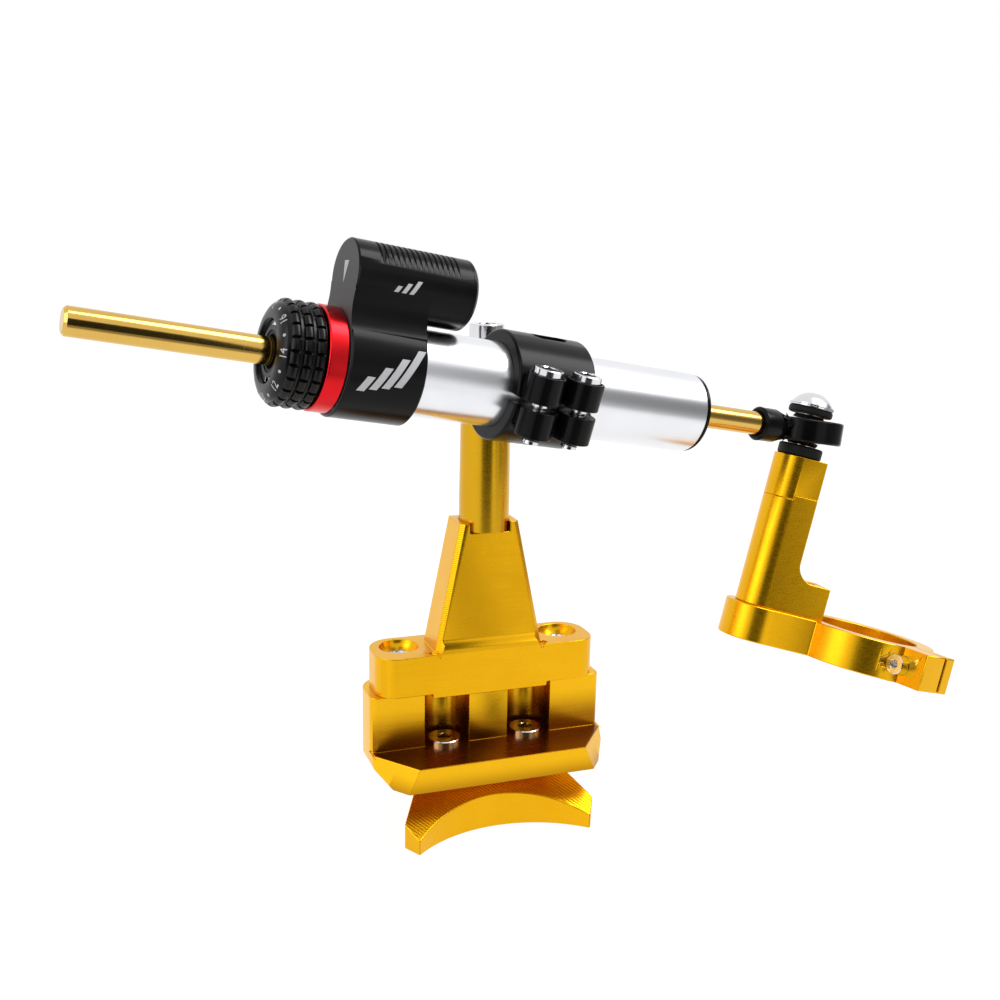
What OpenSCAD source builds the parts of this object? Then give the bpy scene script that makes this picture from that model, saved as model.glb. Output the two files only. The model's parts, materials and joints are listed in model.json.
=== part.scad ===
// Steering damper kit: linear damper with through rod and piggyback reservoir,
// carried on a gold bracket, with a fork clamp arm on the rod end.
// X runs along the bracket width, Y away from the viewer, Z up. Millimetres.

/* [Pose] */
// Height of the pivot ball centre above the bracket underside
ball_z = 178; // [140:1:220]
// Turn of the damper about the post
damper_yaw = 7.3; // [-20:0.1:20]
// Fall of the rod towards the fork arm
damper_tilt = 10.1; // [0:0.1:14]
// Roll of the clamp about the tube
clamp_roll = 9; // [0:0.5:12]
// Roll of the head about the tube
head_roll = 2; // [-20:0.5:10]
// Roll of the rod end eye about the rod
eye_roll = -4; // [-8:0.5:4]
// Roll of the fork arm about the rod
arm_roll = -2; // [-6:0.5:4]
// Lean of the fork arm along the rod
arm_lean = 6; // [0:0.5:8]
// Turn of the fork plate about the arm
plate_turn = 26; // [0:1:60]

/* [Fits] */
// Radial gap of parts fixed together
fit_gap = 0.03; // [0.01:0.01:0.1]
// Radial gap of parts that turn or slide
run_gap = 0.05; // [0.02:0.01:0.1]
// Gap round the piston body and past a blind end
loose_gap = 0.3; // [0.3:0.05:0.5]
// Open space between parts that pass each other
free_gap = 0.5; // [0.3:0.1:1]

/* [Rod and tube] */
// Rod diameter
rod_d = 9; // [8:0.5:12]
// Left end of the rod along the damper axis
rod_left = -155; // [-180:1:-140]
// Rod end face inside the rod end
rod_right = 111; // [105:1:120]
// Radius of the threaded stub in the rod end
stub_r = 3; // [2.5:0.1:3.2]
// Depth of the full rod in the rod end
stub_deep = 2; // [1:0.5:4]
// Chamfer at the rod end
rod_chamfer = 0.9; // [0.2:0.1:1.5]
// Tube outside diameter
tube_d = 29; // [26:0.5:34]
// Tube wall
tube_wall = 3; // [2:0.5:4]
// Left end of the tube inside the head
tube_left = -62; // [-66:1:-56]
// Right end of the tube
tube_right = 66.4; // [55:0.2:75]
// Piston length
piston_len = 12; // [8:1:20]
// Piston ring height
ring_h = 4; // [2:0.5:6]
// Piston ring depth
ring_t = 1.5; // [1:0.1:2]

/* [Head and reservoir] */
// Front face of the head
head_left = -73.4; // [-74:0.1:-72]
// Back face of the head ring
head_right = -47.7; // [-52:0.1:-40]
// Head ring radius
head_r = 18; // [16:0.1:19]
// Reservoir radius
res_r = 11.7; // [10.5:0.1:14]
// Height of the reservoir axis over the tube axis
res_z = 27.2; // [26:0.1:30]
// Right end of the reservoir body
res_right = -33.7; // [-34:0.1:-25]
// Reservoir bore radius
res_bore_r = 9.3; // [7:0.1:11]
// Left end of the reservoir bore
res_bore_left = -66.4; // [-68:0.1:-66]
// Fillet between reservoir and head ring
waist_r = 14; // [5:0.5:18]
// Number of cooling grooves
groove_n = 15; // [6:1:16]
// Groove width
groove_w = 0.9; // [0.5:0.1:1.2]
// Groove depth on top
groove_d = 0.9; // [0.4:0.1:1.5]
// Radius of the groove floor
groove_floor_r = 12.7; // [12:0.1:16]
// First groove position
groove_left = -66.2; // [-69:0.1:-62]
// Groove pitch
groove_pitch = 1.9; // [1.6:0.05:2]
// Reservoir cap thickness
cap_t = 2.2; // [1.5:0.1:4]
// Reservoir cap bevel
cap_bevel = 1.2; // [0.5:0.1:2]
// Reservoir cap plug length
cap_plug = 7; // [4:0.5:10]
// Floating piston length
float_len = 8; // [5:0.5:12]
// Floating piston centre
float_x = -53.5; // [-53.8:0.1:-53.2]

/* [Adjuster] */
// Knob face ahead of the spigot end
knob_lip = 1.2; // [0.6:0.1:3]
// Knob back face
knob_right = -80.6; // [-81:0.1:-80.4]
// Knob radius over the teeth
knob_r = 17; // [16:0.1:18]
// Knob radius between the teeth
knob_root_r = 15.9; // [14.5:0.1:16.2]
// Number of grip teeth round the knob
knob_teeth = 24; // [16:1:36]
// Gap between grip teeth
tooth_gap = 1.5; // [0.8:0.1:2]
// Width of a tooth ring
tooth_ring_w = 3; // [2:0.1:4]
// Pitch of the tooth rings
tooth_ring_pitch = 4.4; // [3.5:0.1:5]
// Smooth land behind the last tooth ring
tooth_land = 0.5; // [0.2:0.1:1]
// Depth of the rounded knob face
knob_round = 3; // [1:0.1:4]
// Radius where the knob face starts to round
knob_face_r = 11; // [10.6:0.1:14]
// Spigot radius that carries the knob
spigot_r = 8.2; // [8:0.1:9]
// Spigot end
spigot_left = -93.4; // [-95:0.1:-92]
// Recess radius in the knob face
knob_recess_r = 10.2; // [9.9:0.1:10.4]
// Recess floor behind the spigot end
clip_land = 1.8; // [1.7:0.1:3]
// Circlip thickness
clip_t = 1.1; // [0.8:0.1:1.2]
// Circlip outer radius
clip_r = 9.9; // [9.3:0.1:9.9]
// Circlip groove radius
clip_groove_r = 7.6; // [7.3:0.1:7.9]
// Red ring radius
red_r = 17; // [16.5:0.1:18]
// Red ring left face
red_left = -80.1; // [-80.1:0.1:-77]
// Red ring seat radius
red_seat_r = 13; // [11:0.1:15]
// Dust cup radius
cup_r = 6.7; // [6.5:0.1:6.9]
// Dust cup depth
cup_len = 5.5; // [3:0.5:7]

/* [Guides and seals] */
// Guide bush radius
bush_r = 6.4; // [6:0.1:7]
// Gap between the left bush and its seal
bush_seal_gap = 2.5; // [1:0.5:6]
// Right bush length
bush_right_len = 11; // [6:0.5:14]
// Seal radius
seal_r = 8; // [7.5:0.1:9]
// Seal thickness
seal_t = 3.6; // [2:0.1:5]
// End cap flange radius
endcap_r = 14.2; // [13:0.1:14.5]
// End cap flange thickness
endcap_t = 1.8; // [1:0.1:4]
// End cap plug length
endcap_plug = 18; // [12:0.5:24]
// Sealing ring section radius
oring_r = 0.9; // [0.6:0.1:1.2]
// Sealing ring distance from the tube end
oring_back = 4; // [3:0.5:8]
// Oil gallery length behind the tube end
gallery_len = 4; // [3:0.5:5]

/* [Clamp] */
// Clamp ring radius
clamp_r = 19; // [17.5:0.1:22]
// Clamp length
clamp_len = 30; // [24:0.5:40]
// Slit width
slit = 2.4; // [1.5:0.1:4]
// Distance from tube axis to pivot
pivot_offset = 36.5; // [34:0.1:42]
// Pivot ear radius
ear_r = 12; // [10:0.5:14]
// Pivot ear height
ear_h = 8; // [7:0.5:9]
// Lug radius
lug_r = 6.4; // [5.8:0.1:8]
// Lug spacing
lug_gap = 15; // [12:0.5:20]
// Distance from tube axis to the clamp screws
lug_y = 21.5; // [20:0.5:25]
// Lug height above the slit plane
lug_h = 10.5; // [8:0.5:14]
// Depth of the screw head seat in the lug
lug_sink = 3.8; // [1:0.5:5]
// Window length in the clamp top
window_l = 13; // [8:0.5:18]
// Window width
window_w = 5.6; // [3:0.1:8]
// Window position along the clamp
window_x = 2; // [-4:0.5:6]

/* [Pivot] */
// Pivot ball radius
pball_r = 6.5; // [6:0.1:7.5]
// Pivot ball width
pball_w = 9; // [7:0.5:10]
// Pivot race width
prace_w = 5; // [4:0.5:6]
// Pivot race radius
prace_r = 8; // [7.5:0.1:9.5]
// Pivot spacer radius
pspacer_r = 5.4; // [4.8:0.1:6]
// Pivot spacer height
pspacer_h = 3; // [2.5:0.5:6]
// Pivot washer radius
pwasher_r = 7.5; // [6.5:0.1:8.5]
// Pivot washer thickness
pwasher_t = 1.5; // [0.8:0.1:2.5]
// Depth of the pivot bolt in the post
pbolt_deep = 20; // [12:1:30]

/* [Screws] */
// M8 shank diameter
m8 = 8; // [7.8:0.1:8]
// M8 head diameter
m8_head_d = 13; // [12:0.5:14]
// M8 low head height
m8_low = 5; // [4:0.5:8]
// M8 hexagon across flats
m8_key = 6; // [5:0.5:6]
// M6 shank diameter
m6 = 6; // [5.8:0.1:6]
// M6 head diameter
m6_head_d = 10; // [9.5:0.5:10.5]
// M6 hexagon across flats
m6_key = 5; // [4:0.5:5]
// M5 shank diameter
m5 = 5; // [4.8:0.1:5]
// M5 head diameter
m5_head_d = 8.5; // [8:0.5:9.5]
// M5 hexagon across flats
m5_key = 4; // [3:0.5:4]
// M4 shank diameter
m4 = 4; // [3.8:0.1:4]
// M4 head diameter
m4_head_d = 7; // [6.5:0.5:7.5]
// M4 hexagon across flats
m4_key = 3; // [2.5:0.5:3]
// Clearance on a through hole, radial
hole_gap = 0.3; // [0.2:0.05:0.5]
// Clearance round a sunk head, radial
head_gap = 0.4; // [0.2:0.05:0.8]

/* [Post and tower] */
// Post diameter
post_d = 19; // [17:0.5:21]
// Post diameter at the top
post_top_d = 18.4; // [16:0.1:20]
// Height where the post starts to narrow
post_step_z = 129; // [122:1:150]
// Depth of the post in the tower top
post_sink = 3.7; // [2:0.1:8]
// Tower top height
tower_top = 118.4; // [110:0.2:130]
// Tower half width at the top
tower_top_w = 11.6; // [10:0.2:14]
// Tower half width at the foot
tower_foot_w = 21.5; // [16:0.5:26]
// Tower front at the top
tower_top_y = 7.8; // [6:0.1:10]
// Tower front at the foot
tower_foot_y = 9.3; // [7:0.1:11]
// Tower back at the foot
tower_back_y = 7; // [6:0.5:11]
// Half width of the notch for the post
notch_w = 8; // [6:0.5:9]
// Corner cut along the tower front edges
strip = 2.4; // [0.5:0.1:3]
// Post screw depth in the post
pscrew_deep = 15; // [8:1:18]

/* [Upper block] */
// Upper block half width
ub_w = 44; // [40:0.5:50]
// Upper block front
ub_front = -11.5; // [-14:0.5:-9]
// Upper block back
ub_back = 13; // [10:0.5:20]
// Upper block underside
ub_bottom = 54; // [48:0.5:58]
// Ear top
ub_top = 69.5; // [64:0.5:75]
// Corner radius in plan
ub_round = 8; // [2:0.5:10]
// Corner radius at the back of both blocks
back_round = 10; // [4:0.5:12]
// Ear screw half spacing
ear_x = 32.7; // [28:0.1:36]
// Ear screw position in depth
ear_y = 3; // [0:0.5:6]
// Ear counterbore radius
ear_cbore_r = 7.6; // [6:0.1:7.8]
// Ear counterbore depth
ear_cbore_d = 7.6; // [6:0.1:9]
// Ball radius of the dish round an ear screw
ear_dish_r = 7.9; // [7.9:0.1:9]
// Ear screw grip in the lower block
ear_grip = 14; // [8:0.5:20]
// Bend height between tower and block
bend_h = 5; // [2:0.5:8]
// Tongue half width
tongue_w = 23; // [15:0.5:30]
// Tongue height
tongue_h = 1.6; // [0.8:0.1:3]

/* [Lower block] */
// Lower block half width
lb_w = 46.6; // [42:0.2:52]
// Corner radius of the wall front
lb_round = 3; // [1:0.5:6]
// Lower block wall front
lb_front = -9; // [-12:0.5:-6]
// Ledge front
ledge_front = -28; // [-34:0.5:-22]
// Ledge top
ledge_top = 32.2; // [28:0.2:38]
// Lower block underside
lb_bottom = 22.5; // [18:0.5:26]
// Half width of the ledge front edge
ledge_w = 33; // [28:0.5:40]
// Lean of the ledge corner planes
ledge_lean = 18; // [0:1:30]
// Where the ledge corner meets the side
ledge_side_y = -10.5; // [-16:0.5:-9]
// Lower chamfer at the sides
lb_chamfer = 5; // [2:0.5:8]
// Base screw half spacing
base_x = 16.7; // [14:0.1:20]
// Base screw position in depth
base_y = -5.3; // [-8:0.1:-2]
// Channel radius
channel_r = 8.8; // [7:0.1:10]
// Screw seat depth under the ledge
seat_d = 3.2; // [1:0.1:5]
// Base screw tip height
base_tip = 7; // [5:0.5:12]

/* [Arc plate] */
// Arc radius
arc_r = 51; // [40:1:70]
// Arc middle position in depth
arc_y = -19; // [-24:0.5:-14]
// Foot tip half width
foot_w = 34.4; // [30:0.2:40]
// Foot tip front
foot_front = -31.8; // [-38:0.2:-26]
// Foot corner half width
foot_corner_w = 38; // [34:0.2:44]
// Foot corner position in depth
foot_corner_y = -25; // [-30:0.5:-20]
// Half width behind the feet
arc_back_w = 32; // [25:0.5:40]
// Where the feet join the back
arc_back_y = -15; // [-20:0.5:-10]
// Half width of the back part
arc_root_w = 24; // [21:0.5:30]
// Where the back part starts
arc_root_y = -5; // [-10:0.5:0]
// Thickness at the foot tip
foot_t = 5.7; // [4:0.1:8]
// Slope of the top
arc_slope = 0.6; // [0.3:0.05:0.9]

/* [Rod end] */
// Rod end eye centre along the damper axis
eye_x = 126; // [118:0.1:135]
// Eye radius
eye_r = 14.2; // [13:0.1:16]
// Eye height
eye_h = 9; // [7:0.5:11]
// Barrel radius
barrel_r = 6.4; // [5.5:0.1:7.5]
// Barrel left end
barrel_left = 101; // [95:0.5:104]
// Waist radius
waist_neck_r = 5.4; // [4.6:0.1:6]
// Ball radius
eball_r = 8; // [7:0.1:9]
// Race radius
erace_r = 10; // [9:0.1:11]
// Ball half width
eball_hw = 6.2; // [5:0.1:7]
// Ball neck radius
eneck_r = 5.3; // [4.8:0.1:6]
// Ball top
eneck_top = 9; // [8:0.1:10]
// Dust seal radius
dust_r = 8.6; // [7.5:0.1:9.5]
// Dust seal gap to the eye
dust_gap = 1.7; // [1.6:0.1:2.4]
// Washer radius
awasher_r = 8.8; // [7.5:0.1:9.5]
// Washer thickness
awasher_t = 0.6; // [0.4:0.1:2]
// Dome head radius
dome_r = 8.2; // [6.5:0.1:9]
// Dome head height
dome_h = 5; // [3.5:0.1:6]
// Dome screw depth below the eye
dome_deep = 44; // [34:1:60]

/* [Fork arm] */
// Collar top below the eye
collar_top = -10.7; // [-13:0.1:-9]
// Joint of collar and arm
collar_bottom = -27.5; // [-32:0.1:-22]
// Height of the step in the joint
joint_step = 1.8; // [0.8:0.1:3]
// Arm radius
arm_r = 9.4; // [8:0.1:11]
// Top face of the fork plate
plate_top = -71; // [-80:0.5:-62]
// Fork plate thickness
plate_t = 14; // [10:0.5:16]
// Foot length
foot_len = 23.6; // [20:0.2:23.8]
// Foot height
foot_h = 13; // [9:0.5:16]
// Fillet between arm and foot
foot_fillet = 7; // [3:0.5:10]
// Foot screw position
foot_screw_x = 15.6; // [14:0.2:16.5]
// Drum radius of the plate
drum_r = 12.8; // [12:0.1:17]
// Distance from arm axis to fork centre
fork_x = 44.6; // [43:0.2:48]
// Fork bore radius
fork_r = 20.5; // [19:0.5:21]
// Fork ring radius
fork_ring_r = 27; // [26:0.5:30]
// Neck half width
neck_w = 12.2; // [9:0.1:12.6]
// Direction of the tail from the plate line
tail_turn = 60; // [30:1:80]
// Tail reach from the fork centre
tail_len = 36.5; // [31:0.5:40]
// Tail side on the screw head side
tail_near = 7; // [5:0.5:10]
// Tail side past the slit
tail_far = 9.6; // [7:0.2:14]
// Slit position
tail_slit_y = 4.4; // [2:0.2:6]
// Slit width of the fork clamp
tail_slit = 1; // [0.6:0.1:3]
// Pinch screw distance from the fork centre
pinch_x = 26.2; // [25:0.2:28]
// Seat of the pinch screw head
pinch_seat = 5.5; // [4.5:0.5:6.5]

/* [Hidden] */
$fn = 96;
rod_r = rod_d/2;
tube_r = tube_d/2;
bore_r = tube_r-tube_wall;
m8_r = m8/2;
m6_r = m6/2;
m5_r = m5/2;
m4_r = m4/2;
neck_len = fork_x-(fork_r+fork_ring_r)/2;
post_top = ball_z-pball_w/2-pspacer_h;
washer_z = ball_z+pball_w/2+pspacer_h;
bolt_z = washer_z+pwasher_t;
gallery_left = tube_left-gallery_len;
knob_left = spigot_left-knob_lip;
knob_recess_x = spigot_left+clip_land;
clip_right = knob_recess_x-loose_gap-run_gap;
post_foot_z = tower_top-post_sink;
overshoot = 1;
endcap_left = tube_right-endcap_plug;
plate_bottom = plate_top-plate_t;
dome_z = eneck_top+2*awasher_t;
stub_left = barrel_left+stub_deep;

// Places a child in the clamp frame: X along the tube, Y towards the pivot
module clamp_frame() {
    translate([0, 0, ball_z]) rotate([clamp_roll, damper_tilt, damper_yaw])
        translate([0, -pivot_offset, 0]) children();
}

// Places a child in the damper frame: X along the rod
module damper_frame() {
    clamp_frame() rotate([-clamp_roll, 0, 0]) children();
}

// Places a child in the head frame: Z towards the reservoir
module head_frame() {
    damper_frame() rotate([head_roll, 0, 0]) children();
}

// Places a child on the rod end ball: Z along the arm screw
module arm_frame() {
    damper_frame() translate([eye_x, 0, 0]) rotate([arm_roll, arm_lean, 0]) children();
}

// Places a child in the rod end eye: X along the rod
module eye_frame() {
    damper_frame() translate([eye_x, 0, 0]) rotate([eye_roll, 0, 0]) children();
}

// Places a child on the fork plate: X towards the fork
module plate_frame() {
    arm_frame() rotate([0, 0, -plate_turn]) children();
}

// Solid of revolution about X from radius and position pairs
module lathe(points) {
    rotate([0, 90, 0]) rotate_extrude() polygon(points);
}

// Plain ring about X
module ring_x(r_in, r_out, x0, x1) {
    lathe([[r_in, x0], [r_out, x0], [r_out, x1], [r_in, x1]]);
}

// Plain rod about X
module bar_x(r, x0, x1) {
    translate([x0, 0, 0]) rotate([0, 90, 0]) cylinder(r = r, h = x1-x0);
}

// Plain cylinder between two heights
module bar_z(r, z0, z1) {
    translate([0, 0, z0]) cylinder(r = r, h = z1-z0);
}

// Hexagon prism between two heights
module hex_z(key, z0, z1) {
    corner = key/sqrt(3);
    translate([0, 0, z0]) linear_extrude(z1-z0)
        polygon([for (i = [0:5]) [corner*cos(60*i), corner*sin(60*i)]]);
}

// Socket head screw with its seat at height zero
module socket_screw(shank_r, head_d, head_h, key, length) {
    difference() {
        union() {
            bar_z(head_d/2, 0, head_h);
            bar_z(shank_r, -length, head_h/2);
        }
        hex_z(key, head_h*0.45, head_h+1);
    }
}

// Rod with a chamfered free end
module rod() {
    color([0.83, 0.62, 0.2]) damper_frame()
        lathe([[0, rod_left], [rod_r-rod_chamfer, rod_left], [rod_r, rod_left+rod_chamfer],
            [rod_r, stub_left], [stub_r, stub_left], [stub_r, rod_right], [0, rod_right]]);
}

// Piston fixed at the middle of the rod
module piston() {
    half = piston_len/2;
    body_r = bore_r-loose_gap;
    color([0.75, 0.76, 0.78]) damper_frame() difference() {
        ring_x(rod_r+fit_gap, body_r, -half, half);
        ring_x(bore_r-ring_t-fit_gap, bore_r, -ring_h/2-fit_gap, ring_h/2+fit_gap);
    }
}

// Wear ring of the piston
module piston_ring() {
    color([0.25, 0.2, 0.16]) damper_frame()
        ring_x(bore_r-ring_t, bore_r-run_gap, -ring_h/2, ring_h/2);
}

// Damper tube
module tube() {
    edge = 0.6;
    color([0.85, 0.86, 0.88]) damper_frame()
        lathe([[bore_r, tube_left], [tube_r, tube_left], [tube_r, tube_right-edge],
            [tube_r-edge, tube_right], [bore_r, tube_right]]);
}

// Peanut outline of the head between ring and reservoir
module head_web() {
    ring_reach = head_r+waist_r;
    res_reach = res_r+waist_r;
    web_z = (ring_reach*ring_reach-res_reach*res_reach+res_z*res_z)/(2*res_z);
    web_y = sqrt(ring_reach*ring_reach-web_z*web_z);
    difference() {
        translate([head_left, 0, 0]) rotate([90, 0, 90]) linear_extrude(head_right-head_left)
            polygon([[0, 0], [web_y, web_z], [0, res_z], [-web_y, web_z]]);
        for (side = [-1, 1]) translate([0, side*web_y, web_z])
            bar_x(waist_r, head_left-1, head_right+1);
    }
}

// Head with the piggyback reservoir, knob spigot and tube socket
module head() {
    port_r = 1.2;
    port_x = tube_left-2;
    bevel = 0.5;
    color([0.05, 0.05, 0.055]) head_frame() difference() {
        union() {
            lathe([[0, head_left], [head_r-bevel, head_left], [head_r, head_left+bevel],
                [head_r, head_right-bevel], [head_r-bevel, head_right], [0, head_right]]);
            translate([0, 0, res_z])
                lathe([[0, head_left], [res_r-bevel, head_left], [res_r, head_left+bevel],
                    [res_r, res_right], [0, res_right]]);
            head_web();
            bar_x(red_seat_r, red_left, head_left+1);
            bar_x(spigot_r, spigot_left, red_left+1);
        }
        bar_x(tube_r+fit_gap, tube_left, head_right+1);
        bar_x(bore_r, gallery_left, tube_left+1);
        bar_x(seal_r+fit_gap, gallery_left-seal_t, gallery_left+1);
        bar_x(bush_r+fit_gap, spigot_left+cup_len, gallery_left);
        bar_x(cup_r+fit_gap, spigot_left-1, spigot_left+cup_len);
        ring_x(clip_groove_r, 2*spigot_r, clip_right-clip_t-run_gap, clip_right+run_gap);
        translate([0, 0, res_z]) bar_x(res_bore_r, res_bore_left, res_right+1);
        translate([port_x, 0, 0]) bar_z(port_r, bore_r-2, res_z-res_bore_r+1);
        for (i = [0:groove_n-1]) translate([groove_left+i*groove_pitch, 0, res_z]) difference() {
            translate([0, -res_r, 0]) cube([groove_w, 2*res_r, res_r+1]);
            translate([0, 0, res_r-groove_d-groove_floor_r]) bar_x(groove_floor_r, -1, groove_w+1);
        }
    }
}

// Bevelled cap that closes the reservoir
module reservoir_cap() {
    end = res_right+cap_t;
    color([0.06, 0.06, 0.065]) head_frame() translate([0, 0, res_z])
        lathe([[0, res_right-cap_plug], [res_bore_r-fit_gap, res_right-cap_plug],
            [res_bore_r-fit_gap, res_right], [res_r, res_right], [res_r, end-cap_bevel],
            [res_r-cap_bevel, end], [0, end]]);
}

// Floating piston that parts oil and gas in the reservoir
module floating_piston() {
    dish = 2;
    wall = 2;
    color([0.75, 0.76, 0.78]) head_frame() translate([float_x, 0, res_z])
        lathe([[0, -float_len/2+dish], [res_bore_r-wall, -float_len/2+dish],
            [res_bore_r-wall, -float_len/2], [res_bore_r-run_gap, -float_len/2],
            [res_bore_r-run_gap, float_len/2], [0, float_len/2]]);
}

// Adjuster knob with three rings of grip teeth
module adjuster_knob() {
    first = knob_right-tooth_land;
    steps = 6;
    color([0.05, 0.05, 0.055]) damper_frame() difference() {
        union() {
            lathe(concat([[spigot_r+run_gap, knob_right], [spigot_r+run_gap, knob_recess_x],
                [knob_recess_r, knob_recess_x], [knob_recess_r, knob_left]],
                [for (i = [0:steps]) [knob_face_r+(knob_root_r-knob_face_r)*sin(90*i/steps),
                    knob_left+knob_round*(1-cos(90*i/steps))]],
                [[knob_root_r, knob_right]]));
            for (i = [0:2]) ring_x(knob_root_r-1, knob_r, first-i*tooth_ring_pitch-tooth_ring_w,
                first-i*tooth_ring_pitch);
        }
        for (i = [0:knob_teeth-1]) rotate([360*i/knob_teeth, 0, 0])
            translate([knob_left, -tooth_gap/2, knob_root_r]) cube([knob_right-knob_left, tooth_gap, knob_r]);
    }
}

// Circlip that keeps the knob on its spigot
module knob_circlip() {
    opening = 3;
    color([0.8, 0.8, 0.82]) damper_frame() difference() {
        ring_x(clip_groove_r+fit_gap, clip_r, clip_right-clip_t, clip_right);
        translate([clip_right-2*clip_t, -opening/2, -2*clip_r]) cube([3*clip_t, opening, 2*clip_r]);
    }
}

// Rubber dust cup in the spigot mouth
module dust_cup() {
    lip = 1.2;
    x0 = spigot_left+0.3;
    color([0.04, 0.04, 0.04]) damper_frame()
        lathe([[cup_r-lip, x0], [cup_r, x0], [cup_r, spigot_left+cup_len],
            [rod_r+run_gap, spigot_left+cup_len], [rod_r+run_gap, spigot_left+cup_len-1.6],
            [cup_r-lip, x0+1.6]]);
}

// Red ring between knob and head
module red_ring() {
    bevel = 0.4;
    right = head_left-0.25;
    color([0.8, 0.05, 0.07]) damper_frame()
        lathe([[red_seat_r+fit_gap, red_left], [red_r-bevel, red_left], [red_r, red_left+bevel],
            [red_r, right-bevel], [red_r-bevel, right], [red_seat_r+fit_gap, right]]);
}

// Guide bush in the head
module guide_bush_left() {
    x0 = spigot_left+cup_len;
    x1 = gallery_left-seal_t-bush_seal_gap;
    color([0.72, 0.5, 0.25]) damper_frame() ring_x(rod_r+run_gap, bush_r, x0, x1);
}

// Guide bush in the end cap
module guide_bush_right() {
    color([0.72, 0.5, 0.25]) damper_frame()
        ring_x(rod_r+run_gap, bush_r, tube_right-bush_right_len, tube_right);
}

// Oil seal in the head
module rod_seal_left() {
    color([0.05, 0.05, 0.05]) damper_frame()
        ring_x(rod_r+run_gap, seal_r, gallery_left-seal_t, gallery_left);
}

// Oil seal in the end cap
module rod_seal_right() {
    color([0.05, 0.05, 0.05]) damper_frame()
        ring_x(rod_r+run_gap, seal_r, endcap_left, endcap_left+seal_t);
}

// End cap in the right end of the tube
module end_cap() {
    bevel = 0.7;
    right = tube_right+endcap_t;
    groove_x = tube_right-oring_back;
    color([0.05, 0.05, 0.055]) damper_frame() difference() {
        lathe([[rod_r+free_gap, endcap_left], [bore_r-fit_gap, endcap_left],
            [bore_r-fit_gap, tube_right], [endcap_r, tube_right], [endcap_r, right-bevel],
            [endcap_r-bevel, right], [rod_r+free_gap, right]]);
        bar_x(seal_r+fit_gap, endcap_left-1, endcap_left+seal_t);
        bar_x(bush_r+fit_gap, tube_right-bush_right_len, tube_right);
        ring_x(bore_r-2*oring_r-fit_gap, bore_r+1, groove_x-oring_r-fit_gap, groove_x+oring_r+fit_gap);
    }
}

// Sealing ring round the end cap
module end_cap_ring() {
    color([0.04, 0.04, 0.04]) damper_frame() translate([tube_right-oring_back, 0, 0]) rotate([0, 90, 0])
        rotate_extrude() translate([bore_r-oring_r-fit_gap, 0]) circle(r = oring_r);
}

// Split clamp with pivot ear, four lugs and a window
module clamp() {
    web_w = 10;
    color([0.05, 0.05, 0.055]) clamp_frame() difference() {
        union() {
            lathe([[0, -clamp_len/2], [clamp_r-0.6, -clamp_len/2], [clamp_r, -clamp_len/2+0.6],
                [clamp_r, clamp_len/2-0.6], [clamp_r-0.6, clamp_len/2], [0, clamp_len/2]]);
            translate([0, pivot_offset, 0]) bar_z(ear_r, -ear_h/2, ear_h/2);
            translate([-ear_r, 0, -ear_h/2]) cube([2*ear_r, pivot_offset, ear_h]);
            for (x = [-lug_gap/2, lug_gap/2]) {
                translate([x, -lug_y, 0]) bar_z(lug_r, -lug_h, lug_h);
                translate([x-web_w/2, -lug_y, -lug_h+1]) cube([web_w, lug_y, 2*lug_h-2]);
            }
        }
        bar_x(tube_r+fit_gap, -clamp_len, clamp_len);
        translate([-clamp_len, -2*lug_y, -slit/2]) cube([2*clamp_len, 2*lug_y, slit]);
        translate([0, pivot_offset, 0]) bar_z(prace_r+fit_gap, -ear_h, ear_h);
        for (x = [-lug_gap/2, lug_gap/2]) translate([x, -lug_y, 0]) {
            bar_z(m6_r+hole_gap, 0, 2*lug_h);
            bar_z(m6_r+fit_gap, -2*lug_h, 0);
            bar_z(m6_head_d/2+head_gap, lug_h-lug_sink, 2*lug_h);
        }
        for (x = [-1, 1]) translate([window_x+x*(window_l-window_w)/2, 0, 0])
            bar_z(window_w/2, tube_r-2, 2*clamp_r);
        translate([window_x-(window_l-window_w)/2, -window_w/2, tube_r-2])
            cube([window_l-window_w, window_w, clamp_r]);
    }
}

// Two screws that close the clamp
module clamp_screws() {
    tail = 2.6;
    color([0.8, 0.8, 0.82]) clamp_frame() for (x = [-lug_gap/2, lug_gap/2])
        translate([x, -lug_y, lug_h-lug_sink])
            socket_screw(m6_r, m6_head_d, m6, m6_key, 2*lug_h-lug_sink+tail);
}

// Outer race of the pivot bearing
module pivot_race() {
    color([0.7, 0.71, 0.73]) clamp_frame() translate([0, pivot_offset, 0]) difference() {
        bar_z(prace_r, -prace_w/2, prace_w/2);
        sphere(r = pball_r+run_gap);
    }
}

// Pivot ball on the bolt
module pivot_ball() {
    color([0.8, 0.8, 0.82]) translate([0, 0, ball_z]) difference() {
        intersection() {
            sphere(r = pball_r);
            bar_z(2*pball_r, -pball_w/2+run_gap, pball_w/2-run_gap);
        }
        bar_z(m8_r+run_gap, -pball_r, pball_r);
    }
}

// Spacers above and below the pivot ball
module pivot_spacers() {
    color([0.78, 0.78, 0.8]) for (z = [post_top, ball_z+pball_w/2]) translate([0, 0, z]) difference() {
        bar_z(pspacer_r, 0, pspacer_h);
        bar_z(m8_r+fit_gap, -1, pspacer_h+1);
    }
}

// Washer under the pivot bolt head
module pivot_washer() {
    color([0.78, 0.78, 0.8]) translate([0, 0, washer_z]) difference() {
        bar_z(pwasher_r, 0, pwasher_t);
        bar_z(m8_r+fit_gap, -1, pwasher_t+1);
    }
}

// Pivot bolt into the post
module pivot_bolt() {
    color([0.8, 0.8, 0.82]) translate([0, 0, bolt_z])
        socket_screw(m8_r, m8_head_d, m8_low, m8_key, bolt_z-post_top+pbolt_deep);
}

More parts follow.
